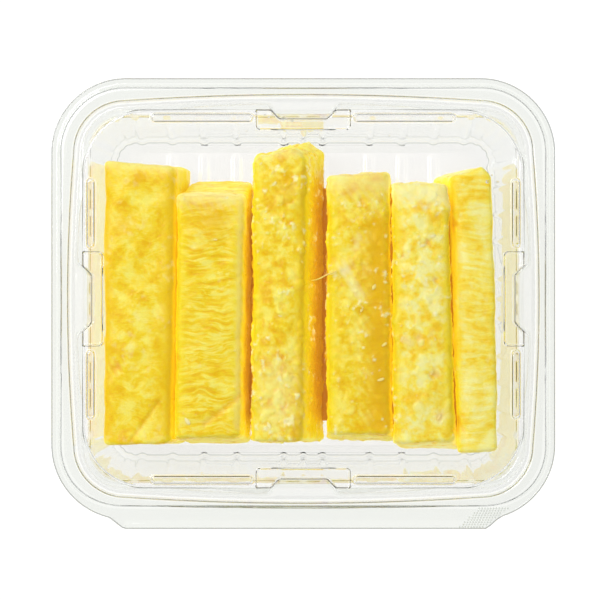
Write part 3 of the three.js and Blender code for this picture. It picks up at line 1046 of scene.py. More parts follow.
    def build(self) -> bpy.types.Object:
        """Builds the tray's sheet.

        Returns:
            The finished piece.
        """
        stations, sheet = self.stations(), SheetMesh()
        lines = fillet_rows(self.profile())
        gain = self.flange_gain(stations)
        reach = [gain] * self.edge_rows + [gain * 0.0] * len(lines)
        loops = sheet.stack([stations.ring(line, reach[i]) for i, line in enumerate(lines)])
        sheet.fill(loops[-1], self.ribs(sheet))
        piece = make_mesh("tub_shell", np.concatenate(sheet.points), sheet.faces)
        count = len(piece.data.vertices)
        _, _, normal = stations.frame_of()
        kept = {name: np.zeros(count) for name in ("press", "gauge")}
        kept |= {"to_flute": np.full(count, FAR * MM), "outward": np.zeros((count, 3))}
        for part, line in zip(loops, lines):
            kept["press"][part] = line[6] * np.where(stations.corner, self.corner_press, 1.0)
            kept["gauge"][part] = line[7]
            kept["to_flute"][part] = stations.to_flute * MM
            kept["outward"][part, :2] = normal
        for name, values in kept.items():
            store(piece, name, values)
        self.presser().apply(piece, FormedSheet("formed_pet_tray").make())
        thicken(piece, self.sheet)
        hand_over(piece, "tub_sheet", "tub")
        return piece

    def ribs(self, sheet: SheetMesh) -> list[np.ndarray]:
        """Presses the ribs up from the floor.

        Args:
            sheet: Mesh that gets their loops.

        Returns:
            The loops that bound them in the floor.
        """
        centres = [0.0, self.middle_pitch, *self.long_flutes[:3]]
        bounds = []
        for x in sorted({*centres, *[-c for c in centres]}):
            rings = []
            for grow, rise in self.rib_rows:
                half = (self.rib_width / 2 + grow, self.rib_reach + grow)
                flat = rounded_bar((x, RIM.centre_y), half, self.rib_width / 2 + grow - 0.02)
                rings.append(np.column_stack([flat, np.full(len(flat), self.floor + rise)]))
            loops = sheet.stack(rings)
            sheet.fill(loops[-1], [])
            bounds.append(loops[0])
        return bounds


def thicken(piece: bpy.types.Object, thickness: float) -> None:
    """Gives a formed surface its sheet thickness below, and makes it plain mesh.

    Args:
        piece: Open surface that faces up.
        thickness: Thickness in mm.
    """
    wall = piece.modifiers.new("sheet", "SOLIDIFY")
    wall.thickness = thickness * MM
    wall.offset = -1.0
    wall.use_quality_normals = True
    settle(piece)
    piece.data.set_sharp_from_angle(angle=math.radians(SHARP_DEG))
    see_through(piece)


def see_through(piece: bpy.types.Object) -> None:
    """Lets soft light pass a clear piece as if it weren't there, which keeps the light even."""
    piece.visible_shadow = False
    piece.visible_diffuse = False


# Lid


@dataclass
class Lid:
    """Formed lid, snapped inside the rim: sloping side, stacking bars and latch pads."""

    sheet: float = 0.45
    edge: float = 39.1
    top: float = 47.0
    bow: float = 2.2
    plateau: float = 13.3
    plateau_corner: float = 22.0
    notch: float = 3.2
    notch_inner: float = 8.0
    notch_outer: float = 12.2
    frame_width: float = 7.1
    bar_height: float = 1.2
    bar_width: float = 3.7
    bar_inset: float = 15.7
    long_bar: float = 37.8
    short_bar: float = 25.6
    long_bar_at: float = 36.6
    short_bar_at: float = 31.0
    pad_half: float = 17.0
    pad_inner: float = 19.8
    pad_depth: float = 1.2
    pad_corner: float = 1.6
    flank: float = 0.62
    # How far under the top the bars and pads fade out, and over what height
    fade_under: float = 1.3
    fade_over: float = 1.2
    corner_stations: int = 32
    # Steps in from the plateau's edge, closer where a bar or a pad has its flank
    frame_steps: tuple = (
        *(0.55, 0.7, 0.9, 1.15, 1.6, 2.3, 3.0, 3.4, 3.7, 3.95, 4.15, 4.4, 4.8, 5.3),
        *(5.7, 5.95, 6.15, 6.35, 6.6),
    )

    def stations(self) -> Stations:
        """Places the stations: closer at the bars' ends, the pads and the notches.

        Returns:
            Stations with their share of the notch.
        """
        sides = []
        for s in range(4):
            middle = self.long_bar_at if s % 2 else self.short_bar_at
            reach = (self.long_bar if s % 2 else self.short_bar) / 2
            spans = (
                (0.0, self.notch_inner, 2.0),
                (self.notch_inner, self.notch_outer, 0.45),
                (self.pad_half - 2.2, self.pad_half + 3.0, 0.26),
                (middle - reach + 3.0, middle + reach - 2.5, 3.0),
                (middle + reach - 2.2, middle + reach + 0.6, 0.28),
            )
            places = np.concatenate([np.arange(*span) for span in spans])
            sides.append(np.concatenate([-places, places]))
        half = RIM.straights(self.plateau, self.plateau_corner)
        turns = np.linspace(0, 1, self.corner_stations, endpoint=False)
        stations = gather(sides, [turns] * 4, half)
        flank = self.notch_outer - self.notch_inner
        away = (np.abs(stations.run) - self.notch_inner) / flank
        stations.notch = np.where(stations.corner, 0.0, 1 - smooth(away))
        return stations

    def profile(self) -> list[Row]:
        """Gives the bends of the sheet from the lid's edge to its flat top."""
        bow, plateau = self.bow, self.plateau
        rim = partial(Row.at, RIM.corner)
        top = partial(Row.at, self.plateau_corner + plateau)
        # The grey share of each row is painted shade: light grey on the side and its bends, fading
        # to none across the flat top
        rows = [
            rim(7.75 + bow, self.edge, bow=bow, gauge=0.3),
            rim(7.87 + bow, self.edge, bow=bow, gauge=0.3),
            rim(8.9 + bow, self.edge, fillet=0.35, bow=bow, notch=0.5, gauge=0.3),
            rim(9.5 + bow, 40.2, fillet=0.8, bow=bow, notch=2.8, gauge=0.35, cuts=2),
            top(12.5, 45.9, fillet=0.4, notch=self.notch, gauge=0.3),
            top(plateau, self.top, fillet=0.6, notch=self.notch, gauge=0.1),
        ]
        for step in (*self.frame_steps, self.frame_width):
            notch = self.notch * (1 - step / self.frame_width)
            rows.append(top(plateau + step, self.top, notch=notch, gauge=0.05))
        rows.append(top(plateau + self.frame_width + 1.2, self.top, bow=0.8, gauge=0.0))
        return rows

    def presser(self) -> NodeShape:
        """Builds the node tree that raises the stacking bars and sinks the latch pads.

        Returns:
            The tree.
        """
        sizes = {
            "Bar height": self.bar_height * MM,
            "Bar half width": self.bar_width / 2 * MM,
            "Bar inset": self.bar_inset * MM,
            "Pad depth": self.pad_depth * MM,
            "Pad half length": self.pad_half * MM,
            "Pad inner edge": self.pad_inner * MM,
            "Pad corner": self.pad_corner * MM,
            "Flank": self.flank * MM,
        }
        shape = NodeShape("press_lid", sizes)
        given, number = shape.inputs, shape.number
        foot = number("MULTIPLY", given["Flank"], -1.0)

        def length(a: object, b: object) -> bpy.types.NodeSocket:
            """Measures a diagonal."""
            return number("SQRT", number("MULTIPLY_ADD", a, a, number("MULTIPLY", b, b)))

        def pressed(away: object, most: str) -> bpy.types.NodeSocket:
            """Eases up to a size from a form's outline, across its flank."""
            return number("MULTIPLY", shape.eased(away, 0.0, foot), given[most])

        run = number("ABSOLUTE", shape.reading("run"))
        inset = shape.reading("inset")
        # Distance from the line along the middle of the nearest bar
        past = number("ABSOLUTE", number("SUBTRACT", run, shape.reading("bar_at")))
        past = number("MAXIMUM", number("SUBTRACT", past, shape.reading("bar_core")), 0.0)
        aside = number("SUBTRACT", inset, given["Bar inset"])
        away = number("SUBTRACT", length(past, aside), given["Bar half width"])
        raised = pressed(away, "Bar height")
        # Distance from the pad's outline, which is open towards the plateau's edge
        core_run = number("SUBTRACT", given["Pad half length"], given["Pad corner"])
        core_inset = number("SUBTRACT", given["Pad inner edge"], given["Pad corner"])
        over_run = number("SUBTRACT", run, core_run)
        over_inset = number("SUBTRACT", inset, core_inset)
        outside = length(number("MAXIMUM", over_run, 0.0), number("MAXIMUM", over_inset, 0.0))
        inside = number("MINIMUM", number("MAXIMUM", over_run, over_inset), 0.0)
        away = number("SUBTRACT", number("ADD", outside, inside), given["Pad corner"])
        rise = number("SUBTRACT", raised, pressed(away, "Pad depth"))
        rise = number("MULTIPLY", rise, shape.reading("top_share"))
        shape.close(shape.moved(shape.add("ShaderNodeCombineXYZ", {"Z": rise})))
        return shape

    def build(self) -> bpy.types.Object:
        """Builds the lid's sheet.

        Returns:
            The finished piece.
        """
        stations, sheet = self.stations(), SheetMesh()
        lines = fillet_rows(self.profile())
        loops = sheet.stack([stations.ring(line) for line in lines])
        sheet.fill(loops[-1], [])
        piece = make_mesh("lid_shell", np.concatenate(sheet.points), sheet.faces)
        odd = stations.side % 2 == 1
        core = np.where(odd, self.long_bar, self.short_bar) / 2 - self.bar_width / 2
        around = {
            "run": np.where(stations.corner, FAR * 2, stations.run),
            "bar_at": np.where(odd, self.long_bar_at, self.short_bar_at),
            "bar_core": core,
        }
        for name, values in around.items():
            store(piece, name, np.tile(values, len(lines)) * MM)
        inset = np.concatenate([line[0] + line[5] * stations.notch for line in lines])
        store(piece, "inset", inset * MM)
        level = [smooth((line[1] - self.top + self.fade_under) / self.fade_over) for line in lines]
        for name, values in (("top_share", level), ("gauge", lines[:, 7])):
            store(piece, name, np.repeat(values, len(stations.side)))
        self.presser().apply(piece, FormedSheet("formed_pet_lid").make())
        thicken(piece, self.sheet)
        hand_over(piece, "lid_sheet", "lid")
        return piece


# Spears


@dataclass(frozen=True)
class Mark:
    """A measured spot on a spear's top: a pit, a crease's end, a pale patch or a patch of painted
    shade.
    """

    x: float
    y: float
    radius: float
    depth: float = 0.0
    stain: float = 0.0
    fleck: float = 0.0
    painted_shade: float = 0.0
    to: tuple | None = None


@dataclass(frozen=True)
class SideShading:
    """Painted shade and painted light on a spear's long sides and ends. Each ramp gives where it
    starts and its span.
    """

    side_ramp: tuple = (0.78, 0.22)
    brow_ramp: tuple = (0.5, 0.5)
    end_ramp: tuple = (0.96, 0.04)
    amber_shade_ramp: tuple = (0.28, 0.6)
    # From the top down: depth, light just under the edge, and light on the ends
    depth_drop: tuple = (0.95, 1.9)
    light_drop: tuple = (1.0, 0.15)
    end_drop: tuple = (0.97, 0.3)
    brow: float = 0.46
    open_share: float = 0.35
    # A first value, and what the bottom, the inside or the edge's light adds to it
    gold_shade: tuple = (0.34, 0.8)
    shaded: tuple = (0.45, 0.55)
    light: tuple = (0.06, 0.84)
    light_loss: float = 0.32
    end_light: float = 0.5
    gold_shade_gain: float = 2.2
    end_gold_shade_loss: float = 0.6

    @staticmethod
    def rise(value: np.ndarray, ramp: tuple[float, float]) -> np.ndarray:
        """Eases up along a ramp."""
        return smooth((value - ramp[0]) / ramp[1])

    @staticmethod
    def drop(value: np.ndarray, ramp: tuple[float, float]) -> np.ndarray:
        """Goes evenly from 0 to 1 as the value falls along a ramp."""
        return np.clip((ramp[0] - value) / ramp[1], 0, 1)


@dataclass
class Spear:
    """One spear: eight corners, the cut of its top face, and what lies on it."""

    number: int
    near: tuple
    far: tuple
    crown: float
    cut: Cut
    flesh: Flesh
    marks: tuple = ()
    edge: float = 3.0
    end_edge: float = 1.3
    block_mm: tuple = (25.0, 0.0, 26.0)
    # Height in mm at which marks begin, over what height they set in, and how ragged they are
    top_from: float = 22.0
    top_fade: float = 3.0
    ragged: float = 0.28
    lump_mm: float = 11.0
    lump_height: float = 2.4
    fibre_mm: float = 1.2
    fibre_length_mm: float = 7.0
    fibre_height: float = 0.6
    chunk_mm: float = 3.4
    chunk_height: float = 0.0
    chunk_rim: tuple = (0.62, 0.25)
    chunk_tones: tuple = (0.15, 0.8)
    eye_spacing_mm: float = 11.0
    eye_depth: float = 0.0
    eye_stain: float = 0.3
    eye_rim: tuple = (0.3, 0.1)
    eye_ragged: float = 0.25
    tear_mm: float = 2.2
    tear_height: float = 0.0
    tear_rim: tuple = (0.1, 0.22)
    tear_on_lumps: float = 0.7
    torn_pale: tuple = (0.25, 0.8)
    torn_fibre_mm: tuple = (1.15, 0.5, 0.16)
    torn_turn: tuple = (0.3, 0.3, 1.2)
    warp_mm: float = 2.5
    flecks: float = 0.0
    patch_mm: float = 9.0
    patch_rim: tuple = (0.42, 0.62)
    steepest: float = 0.8
    open_side: int = 0
    fade_mm: float = 13.0
    side_shading: SideShading = SideShading()
    bow_from: float = 0.85
    far_bow: tuple = (0.0, 0.0, 0.0, 0.0, 0.0)
    cells: tuple = (54, 212, 56)

    def grid(self) -> tuple[np.ndarray, list]:
        """Makes the surface of a divided block.

        Returns:
            Shares from -1 to 1 across, along and up for each point, and the faces.
        """
        numbers: dict[tuple[int, ...], int] = {}
        faces = []
        # Two axes of each pair of walls, the axis between them, and where the first wall lies
        for a, b, c, first in ((0, 1, 2, 1), (1, 2, 0, 1), (0, 2, 1, 0)):
            walls = ((self.cells[c] * first, 1), (self.cells[c] * (1 - first), -1))
            for p, q in product(range(self.cells[a]), range(self.cells[b])):
                ring = ((p, q), (p + 1, q), (p + 1, q + 1), (p, q + 1))
                for level, turn in walls:
                    face = []
                    for k in range(4):
                        spot = [level] * 3
                        spot[a], spot[b] = ring[k * turn]
                        face.append(numbers.setdefault(tuple(spot), len(numbers)))
                    faces.append(tuple(face))
        shares = np.array(list(numbers), dtype=float) / np.array(self.cells) * 2 - 1
        return shares, faces

    def place(self, shares: np.ndarray) -> np.ndarray:
        """Rounds the block's edges and fits it between the eight corners.

        Args:
            shares: Shares from -1 to 1 across, along and up.

        Returns:
            Points in mm.
        """
        near, far = np.array(self.near, dtype=float), np.array(self.far, dtype=float)
        width, _, height = self.block_mm
        half = np.array([width / 2, abs(far[0, 1] - near[0, 1]) / 2, height / 2])
        block = shares * half
        radii = np.array([self.edge, self.end_edge, self.edge])
        core = np.clip(block, radii - half, half - radii)
        over = (block - core) / radii
        length = np.linalg.norm(over, axis=1, keepdims=True)
        most = np.abs(over).max(axis=1, keepdims=True)
        block = core + over / np.maximum(length, 1e-9) * most * radii
        u, v, w = (block / half / 2 + 0.5).T
        u, v, w = u[:, None], v[:, None], w[:, None]
        ends = []
        for end in (near, far):
            top = end[0] + (end[1] - end[0]) * u
            bottom = end[3] + (end[2] - end[3]) * u
            ends.append(bottom + (top - bottom) * w)
        points = ends[0] + (ends[1] - ends[0]) * v
        arch = 4 * u[:, 0] * (1 - u[:, 0]) * w[:, 0]
        points[:, 2] += self.crown * (arch - 1) * smooth((w[:, 0] - 0.5) * 2)
        bowed = np.interp(u[:, 0], np.linspace(0, 1, len(self.far_bow)), self.far_bow)
        points[:, 1] += bowed * smooth((v[:, 0] - self.bow_from) / (1 - self.bow_from))
        return points

    def mark(self, points: np.ndarray) -> dict[str, np.ndarray]:
        """Sinks the measured marks into the top face.

        Args:
            points: Points in mm, changed in place.

        Returns:
            Shares of stain, fleck and painted shade for each point.
        """
        tones = {name: np.zeros(len(points)) for name in ("stain", "fleck", "painted_shade")}
        on_top = smooth((points[:, 2] - self.top_from) / self.top_fade)
        for spot in self.marks:
            start = np.array([spot.x, spot.y])
            line = np.array(spot.to if spot.to else (spot.x, spot.y)) - start
            gap = points[:, :2] - start
            share = np.clip(gap @ line / max(line @ line, 1e-9), 0, 1)
            away = np.linalg.norm(gap - share[:, None] * line, axis=1)
            wobble = 1 + self.ragged * np.sin(points[:, 0] * 2.1 + points[:, 1] * 1.3)
            bell = np.exp(-((away / (spot.radius * wobble)) ** 2)) * on_top
            points[:, 2] -= spot.depth * bell
            # Stain and fleck are the flesh's own tones; the shade share is painted shade
            for name, tone in tones.items():
                np.maximum(tone, getattr(spot, name) * bell, out=tone)
        return tones

    def relief(self) -> NodeShape:
        """Builds the node tree that gives the flesh its lumps, fibres, eyes and tears.

        Returns:
            The tree.
        """
        sizes = {
            "Lump size": self.lump_mm * MM,
            "Lump height": self.lump_height * MM,
            "Fibre spacing": self.fibre_mm * MM,
            "Fibre length": self.fibre_length_mm * MM,
            "Fibre slant": math.radians(self.flesh.fibre_slant_deg),
            "Fibre height": self.fibre_height * MM,
            "Chunk size": self.chunk_mm * MM,
            "Chunk height": self.chunk_height * MM,
            "Eye spacing": self.eye_spacing_mm * MM,
            "Eye depth": self.eye_depth * MM,
            "Tear height": self.tear_height * MM,
            "Seed": 10.0 * self.number,
        }
        shape = NodeShape(f"flesh_relief_{self.number}", sizes)
        given, number, add = shape.inputs, shape.number, shape.add
        spot = add("GeometryNodeInputPosition").outputs[0]

        def per(size: str) -> bpy.types.NodeSocket:
            """Turns a size into a scale."""
            return number("DIVIDE", 1.0, given[size])

        def noise(vector: object, scale: object, detail: float) -> bpy.types.Node:
            """Draws seeded noise."""
            inputs = {"Vector": vector, "W": given["Seed"], "Scale": scale, "Detail": detail}
            return add("ShaderNodeTexNoise", inputs, noise_dimensions="4D")

        def level(drawn: bpy.types.Node) -> bpy.types.NodeSocket:
            """Turns noise from 0 to 1 into noise round zero."""
            return number("SUBTRACT", drawn.outputs[0], 0.5)

        def cells(scale: object) -> bpy.types.Node:
            """Draws seeded cells at places that bend with the fibres."""
            inputs = {"Vector": bent, "W": given["Seed"], "Scale": scale}
            return add("ShaderNodeTexVoronoi", inputs, voronoi_dimensions="4D")

        lumps = noise(spot, per("Lump size"), 2.0)
        inputs = {0: lumps.outputs[1], 1: (0.5,) * 3}
        swirl = add("ShaderNodeVectorMath", inputs, operation="SUBTRACT")
        inputs = {0: swirl, 1: (self.warp_mm * 4 * MM,) * 3, 2: spot}
        bent = add("ShaderNodeVectorMath", inputs, operation="MULTIPLY_ADD")
        lump = level(lumps)
        total = number("MULTIPLY", lump, given["Lump height"])
        inputs = {"Vector": bent, "Angle": number("MULTIPLY", given["Fibre slant"], -1.0)}
        turned = add("ShaderNodeVectorRotate", inputs, rotation_type="Z_AXIS")
        across = per("Fibre spacing")
        stretch = add("ShaderNodeCombineXYZ", {"X": per("Fibre length"), "Y": across, "Z": across})
        drawn_out = add("ShaderNodeVectorMath", {0: turned, 1: stretch}, operation="MULTIPLY")
        fibre = level(noise(drawn_out, 1.0, 3.0))
        total = number("MULTIPLY_ADD", fibre, given["Fibre height"], total)
        chunks = cells(per("Chunk size"))
        chunk = shape.eased(chunks.outputs["Distance"], *self.chunk_rim)
        total = number("MULTIPLY_ADD", chunk, given["Chunk height"], total)
        uneven = add("ShaderNodeSeparateXYZ", {0: chunks.outputs["Color"]}).outputs[0]
        chunk = number("MULTIPLY", chunk, shape.eased(uneven, *self.chunk_tones))
        ragged = cells(per("Eye spacing")).outputs["Distance"]
        ragged = number("MULTIPLY_ADD", fibre, self.eye_ragged, ragged)
        eye = shape.eased(ragged, *self.eye_rim)
        total = number("SUBTRACT", total, number("MULTIPLY", eye, given["Eye depth"]))
        fine = level(noise(spot, 1 / (self.tear_mm * MM), 3.0))
        fine = number("MULTIPLY_ADD", lump, self.tear_on_lumps, fine)
        torn = shape.eased(fine, *self.tear_rim)
        total = number("MULTIPLY_ADD", torn, given["Tear height"], total)
        normal = add("GeometryNodeInputNormal")
        offset = add("ShaderNodeVectorMath", {0: normal, 3: total}, operation="SCALE")
        geometry = shape.moved(offset)
        paler = number("MULTIPLY", torn, self.torn_pale[self.cut is Cut.PEELED])
        browned = number("MULTIPLY", eye, self.eye_stain if self.eye_depth else 0.0)
        kept = {
            "fleck": number("MAXIMUM", shape.reading("fleck"), paler),
            "stain": number("MAXIMUM", shape.reading("stain"), browned),
            "chunk": chunk,
        }
        for name, value in kept.items():
            inputs = {0: geometry, "Name": name, "Value": value}
            settings = {"data_type": "FLOAT", "domain": "POINT"}
            geometry = add("GeometryNodeStoreNamedAttribute", inputs, **settings)
        shape.close(geometry)
        return shape

    def side_shade(self, shares: np.ndarray) -> dict[str, np.ndarray]:
        """Says where the grooves get painted shade, golden to amber, and where painted light shows
        the flesh lit through.

        Args:
            shares: Shares from -1 to 1 across, along and up.

        Returns:
            Shares of golden and amber painted shade, and of painted light carried through, for each
            point.
        """
        across, end_on, up = np.abs(shares[:, 0]), np.abs(shares[:, 1]), shares[:, 2]
        half_length = abs(self.far[0][1] - self.near[0][1]) / 2
        tone = self.side_shading
        # From 0 at a spear's end to 1 where the next spear shades it
        inward = smooth((1 - end_on) * half_length / self.fade_mm)
        open_side = np.where(shares[:, 0] * self.open_side > 0.3, tone.open_share, 1.0)
        long_side = tone.rise(across, tone.side_ramp)
        depth = tone.drop(up, tone.depth_drop)
        # The top's long edges get painted shade as well
        brow = tone.rise(across, tone.brow_ramp) * tone.brow
        side = np.maximum(long_side * (tone.gold_shade[0] + tone.gold_shade[1] * depth), brow) * open_side
        side *= tone.shaded[0] + tone.shaded[1] * inward
        end = tone.rise(end_on, tone.end_ramp) * tone.drop(up, tone.end_drop)
        # Painted light: the glow along the long sides and on the ends
        lit = long_side * (tone.light[0] + tone.light[1] * tone.drop(up, tone.light_drop))
        return {
            "gold_shade": np.clip(side * tone.gold_shade_gain, 0, 1) * (1 - tone.end_gold_shade_loss * end),
            "amber_shade": tone.rise(side, tone.amber_shade_ramp) * inward,
            "lit": np.maximum(lit * (1 - tone.light_loss * depth), tone.end_light * end),
        }

    def build(self) -> bpy.types.Object:
        """Builds the spear.

        Returns:
            The finished piece.
        """
        shares, faces = self.grid()
        points = self.place(shares)
        tones = self.mark(points)
        piece = make_mesh(f"spear_{self.number}_cut", points, faces)
        for name, tone in (tones | self.side_shade(shares)).items():
            store(piece, name, tone)
        self.relief().dress(piece, self.flesh)
        node = f"spear_{self.number}"
        hand_over(piece, f"{node}_flesh", node)
        if self.flecks:
            self.scatter(piece)
        return piece

    def scatter(self, piece: bpy.types.Object) -> None:
        """Scatters torn fibre ends over the top of the spear.

        Args:
            piece: The finished spear.
        """
        length, width, height = self.torn_fibre_mm
        sizes = {
            "Fibres a square metre": self.flecks * 1e4,
            "Length": length * MM,
            "Width": width * MM,
            "Height": height * MM,
            "Seed": 31.0 + self.number,
        }
        shape = NodeShape(f"torn_fibres_{self.number}", sizes)
        given, add = shape.inputs, shape.add
        facing = add("ShaderNodeSeparateXYZ", {0: add("GeometryNodeInputNormal")}).outputs["Z"]
        upward = shape.number("GREATER_THAN", facing, self.steepest)
        patchy = add("ShaderNodeTexNoise", {"Scale": 1 / (self.patch_mm * MM), "Detail": 2.0})
        density = shape.eased(patchy.outputs[0], *self.patch_rim)
        density = shape.number("MULTIPLY", density, given["Fibres a square metre"])
        seed = given["Seed"]
        inputs = {"Mesh": given["Geometry"], "Selection": upward, "Density": density, "Seed": seed}
        spots = add("GeometryNodeDistributePointsOnFaces", inputs)
        size = {axis: given[name] for axis, name in zip("XYZ", ("Length", "Width", "Height"))}
        uneven = add("FunctionNodeRandomValue", {2: 0.5, 3: 1.5, 8: seed}).outputs[1]
        inputs = {0: add("ShaderNodeCombineXYZ", size), 3: uneven}
        size = add("ShaderNodeVectorMath", inputs, operation="SCALE")
        inputs = {0: [-most for most in self.torn_turn], 1: self.torn_turn, 8: seed}
        inputs = {
            "Points": spots,
            "Instance": add("GeometryNodeMeshUVSphere", {"Segments": 7, "Rings": 5, "Radius": 1.0}),
            "Rotation": add("FunctionNodeRandomValue", inputs, data_type="FLOAT_VECTOR"),
            "Scale": size,
        }
        shape.close(add("GeometryNodeInstanceOnPoints", inputs))
        fibres = bpy.data.objects.new(f"spear_{self.number}_fibre_ends", piece.data.copy())
        bpy.context.scene.collection.objects.link(fibres)
        fibres.data.materials.clear()
        tones = {"middle": "#f9ea98", "deep": "#f7e280", "pale": "#fbf0b4"}
        shape.dress(fibres, Flesh(f"torn_fibre_{self.number}", glow=0.0, **tones))
        hand_over(fibres, f"spear_{self.number}_flesh")


BED = 1.8

SPEARS = (
    Spear(
        1,
        ((-74.6, -53, 27), (-49, -51.8, 28), (-44.5, -53.5, BED), (-71.2, -53, BED)),
        ((-74.4, 53.3, 27), (-47.7, 51, 28.5), (-42.6, 51.6, BED), (-71.4, 52.5, BED)),
        0.3,
        Cut.SMOOTH,
        Flesh("smooth_flesh_1", fibre_slant_deg=40, fibre_share=0.25, mottle_mm=7.0),
        marks=(
            Mark(-69.2, -23.7, 2.0, depth=1.1, stain=0.75),
            Mark(-64.0, -51.0, 0.8, depth=0.5, stain=0.25, to=(-53.5, -36.1)),
            Mark(-66.8, 29.0, 4.5, painted_shade=0.5),
            Mark(-73.5, -48.0, 2.4, painted_shade=0.8, to=(-73.8, 50.0)),
            Mark(-50.0, -45.0, 3.5, painted_shade=0.6, to=(-49.0, 46.0)),
            Mark(-72.0, 52.5, 2.5, fleck=0.35, to=(-50.0, 50.5)),
        ),
        open_side=-1,
        fibre_height=0.4,
    ),
    Spear(
        2,
        ((-48.5, -50.3, 28), (-23.2, -49.5, 28.5), (-19.8, -54, BED), (-44, -54, BED)),
        ((-47.2, 39.8, 28.5), (-21.7, 39.7, 29), (-19.2, 47.5, BED), (-42, 47.5, BED)),
        0.3,
        Cut.RADIAL,
        Flesh(
            "fanned_flesh_2",
            fibre_mm=1.3,
            fibre_slant_deg=12,
            fibre_stretch=9.0,
            fibre_share=0.7,
            chunk_share=0.1,
            warp_mm=1.6,
        ),
        marks=(
            Mark(-46.8, -20.4, 1.2, depth=0.7, stain=0.4),
            Mark(-36.7, -44.7, 1.0, depth=0.6, stain=0.35, to=(-23.6, -34.6)),
            Mark(-34.0, 31.0, 6.5, painted_shade=0.7),
            Mark(-24.6, -46.0, 1.3, fleck=0.3, to=(-23.4, 38.0)),
            Mark(-46.0, 40.0, 3.5, fleck=0.45, to=(-23.0, 40.0)),
        ),
        fibre_height=0.75,
        fibre_mm=1.5,
        fibre_length_mm=13.0,
        warp_mm=1.3,
        chunk_mm=5.0,
        chunk_height=0.1,
        flecks=0.5,
    ),
    Spear(
        3,
        ((-19, -51.2, 28.5), (-0.1, -51, 29.5), (8.3, -53, BED), (-18.9, -53, BED)),
        ((-18.4, 53.4, 29), (0.9, 55.5, 30.5), (8.8, 60, BED), (-18.4, 57.5, BED)),
        0.8,
        Cut.PEELED,
        Flesh("peeled_flesh_3", fibre_share=0.1, chunk_share=1.0, mottle_mm=4.5),
        marks=(
            Mark(-7.6, -20.0, 0.7, depth=0.6, stain=0.8),
            Mark(-6.8, -38.7, 1.5, depth=1.0, stain=0.6),
            Mark(-6.0, 44.0, 4.0, painted_shade=0.8),
            Mark(-1.5, -48.0, 1.6, painted_shade=0.5, to=(-0.5, 50.0)),
            Mark(-16.0, 55.0, 2.0, fleck=0.35, to=(-2.0, 56.0)),
            Mark(-9.0, -40.0, 7.0, fleck=0.3, to=(-9.0, -26.0)),
        ),
        chunk_mm=4.4,
        chunk_height=0.6,
        eye_depth=0.6,
        tear_height=0.5,
        flecks=1.0,
        far_bow=(-0.3, 0.4, 1.6, 2.2, -1.0),
    ),
    Spear(
        4,
        ((8.7, -48.4, 28), (32.7, -48.8, 28), (36.4, -53.2, BED), (9.7, -52, BED)),
        ((9.2, 47.6, 28), (32.4, 48.8, 27.5), (32.8, 50, BED), (9.8, 49, BED)),
        1.2,
        Cut.PEELED,
        Flesh("peeled_flesh_4", fibre_share=0.15, chunk_share=0.8, mottle_mm=5.5),
        marks=(
            Mark(29.3, 48.0, 0.35, depth=0.2, stain=1.0),
            Mark(21.6, 37.9, 1.6, depth=0.7, stain=0.3),
            Mark(15.5, 12.5, 2.6, fleck=0.8),
            Mark(18.0, 8.0, 1.9, fleck=0.55, to=(20.5, 3.5)),
            Mark(19.5, 20.5, 1.4, fleck=0.35, to=(20.5, 25.0)),
            Mark(28.5, -44.0, 6.0, painted_shade=1.0, to=(28.0, 28.0)),
            Mark(12.0, 46.5, 6.5, fleck=0.4, to=(31.0, 46.0)),
        ),
        chunk_mm=4.6,
        chunk_height=0.4,
        eye_depth=0.3,
        tear_height=0.4,
        flecks=0.4,
    ),
    Spear(
        5,
        ((33.3, -52.2, 28), (56.6, -51.4, 28), (60.3, -56, BED), (37, -56, BED)),
        ((33.2, 44.7, 28), (54.5, 44.1, 28.5), (48.6, 46, BED), (33.5, 46, BED)),
        1.2,
        Cut.PEELED,
        Flesh(
            "peeled_flesh_5",
            middle="#ffe352",
            deep="#facf28",
            pale="#fff09e",
            fibre_share=0.1,
            chunk_share=0.9,
            mottle_mm=5.0,
        ),
        marks=(
            Mark(46.3, 22.6, 1.4, depth=1.0, stain=0.6),
            Mark(36.9, 17.7, 0.9, depth=0.7, stain=0.4),
            Mark(49.3, 8.8, 1.3, depth=0.8, stain=0.4),
            Mark(42.9, -12.5, 1.2, depth=0.8, stain=0.5),
            Mark(48.9, -26.4, 1.6, depth=1.0, stain=0.5),
            Mark(45.5, 35.7, 1.2, fleck=0.9),
            Mark(35.0, 42.0, 5.0, fleck=0.55, to=(54.0, 41.0)),
        ),
        chunk_mm=4.4,
        chunk_height=0.4,
        eye_depth=0.4,
        tear_height=0.4,
        flecks=1.0,
    ),
    Spear(
        6,
        ((57.3, -56, 26), (73, -54.9, 26), (71, -56.5, BED), (60.9, -56.5, BED)),
        ((55.2, 49.3, 26), (70.6, 49, 26), (70.3, 50, BED), (49.4, 50.5, BED)),
        0.6,
        Cut.SMOOTH,
        Flesh(
            "smooth_flesh_6",
            middle="#ffe45c",
            deep="#fad026",
            pale="#fff09e",
            fibre_mm=1.5,
            fibre_stretch=12.0,
            fibre_slant_deg=-4,
            fibre_share=0.4,
            mottle_mm=7.0,
            warp_mm=1.3,
        ),
        marks=(
            Mark(55.6, 29.3, 2.0, depth=1.2, stain=0.7),
            Mark(57.0, -43.0, 2.0, depth=1.0, stain=0.7, to=(57.0, -47.0)),
            Mark(57.0, -20.0, 1.8, painted_shade=0.7, to=(55.5, 46.0)),
        ),
        open_side=1,
        fibre_height=0.2,
        fibre_mm=1.8,
        fibre_length_mm=14.0,
        warp_mm=1.3,
        far_bow=(-2.4, -0.8, 0.6, 1.9, -1.0),
    ),
)


# What runs along and lies on the spears and the sheet


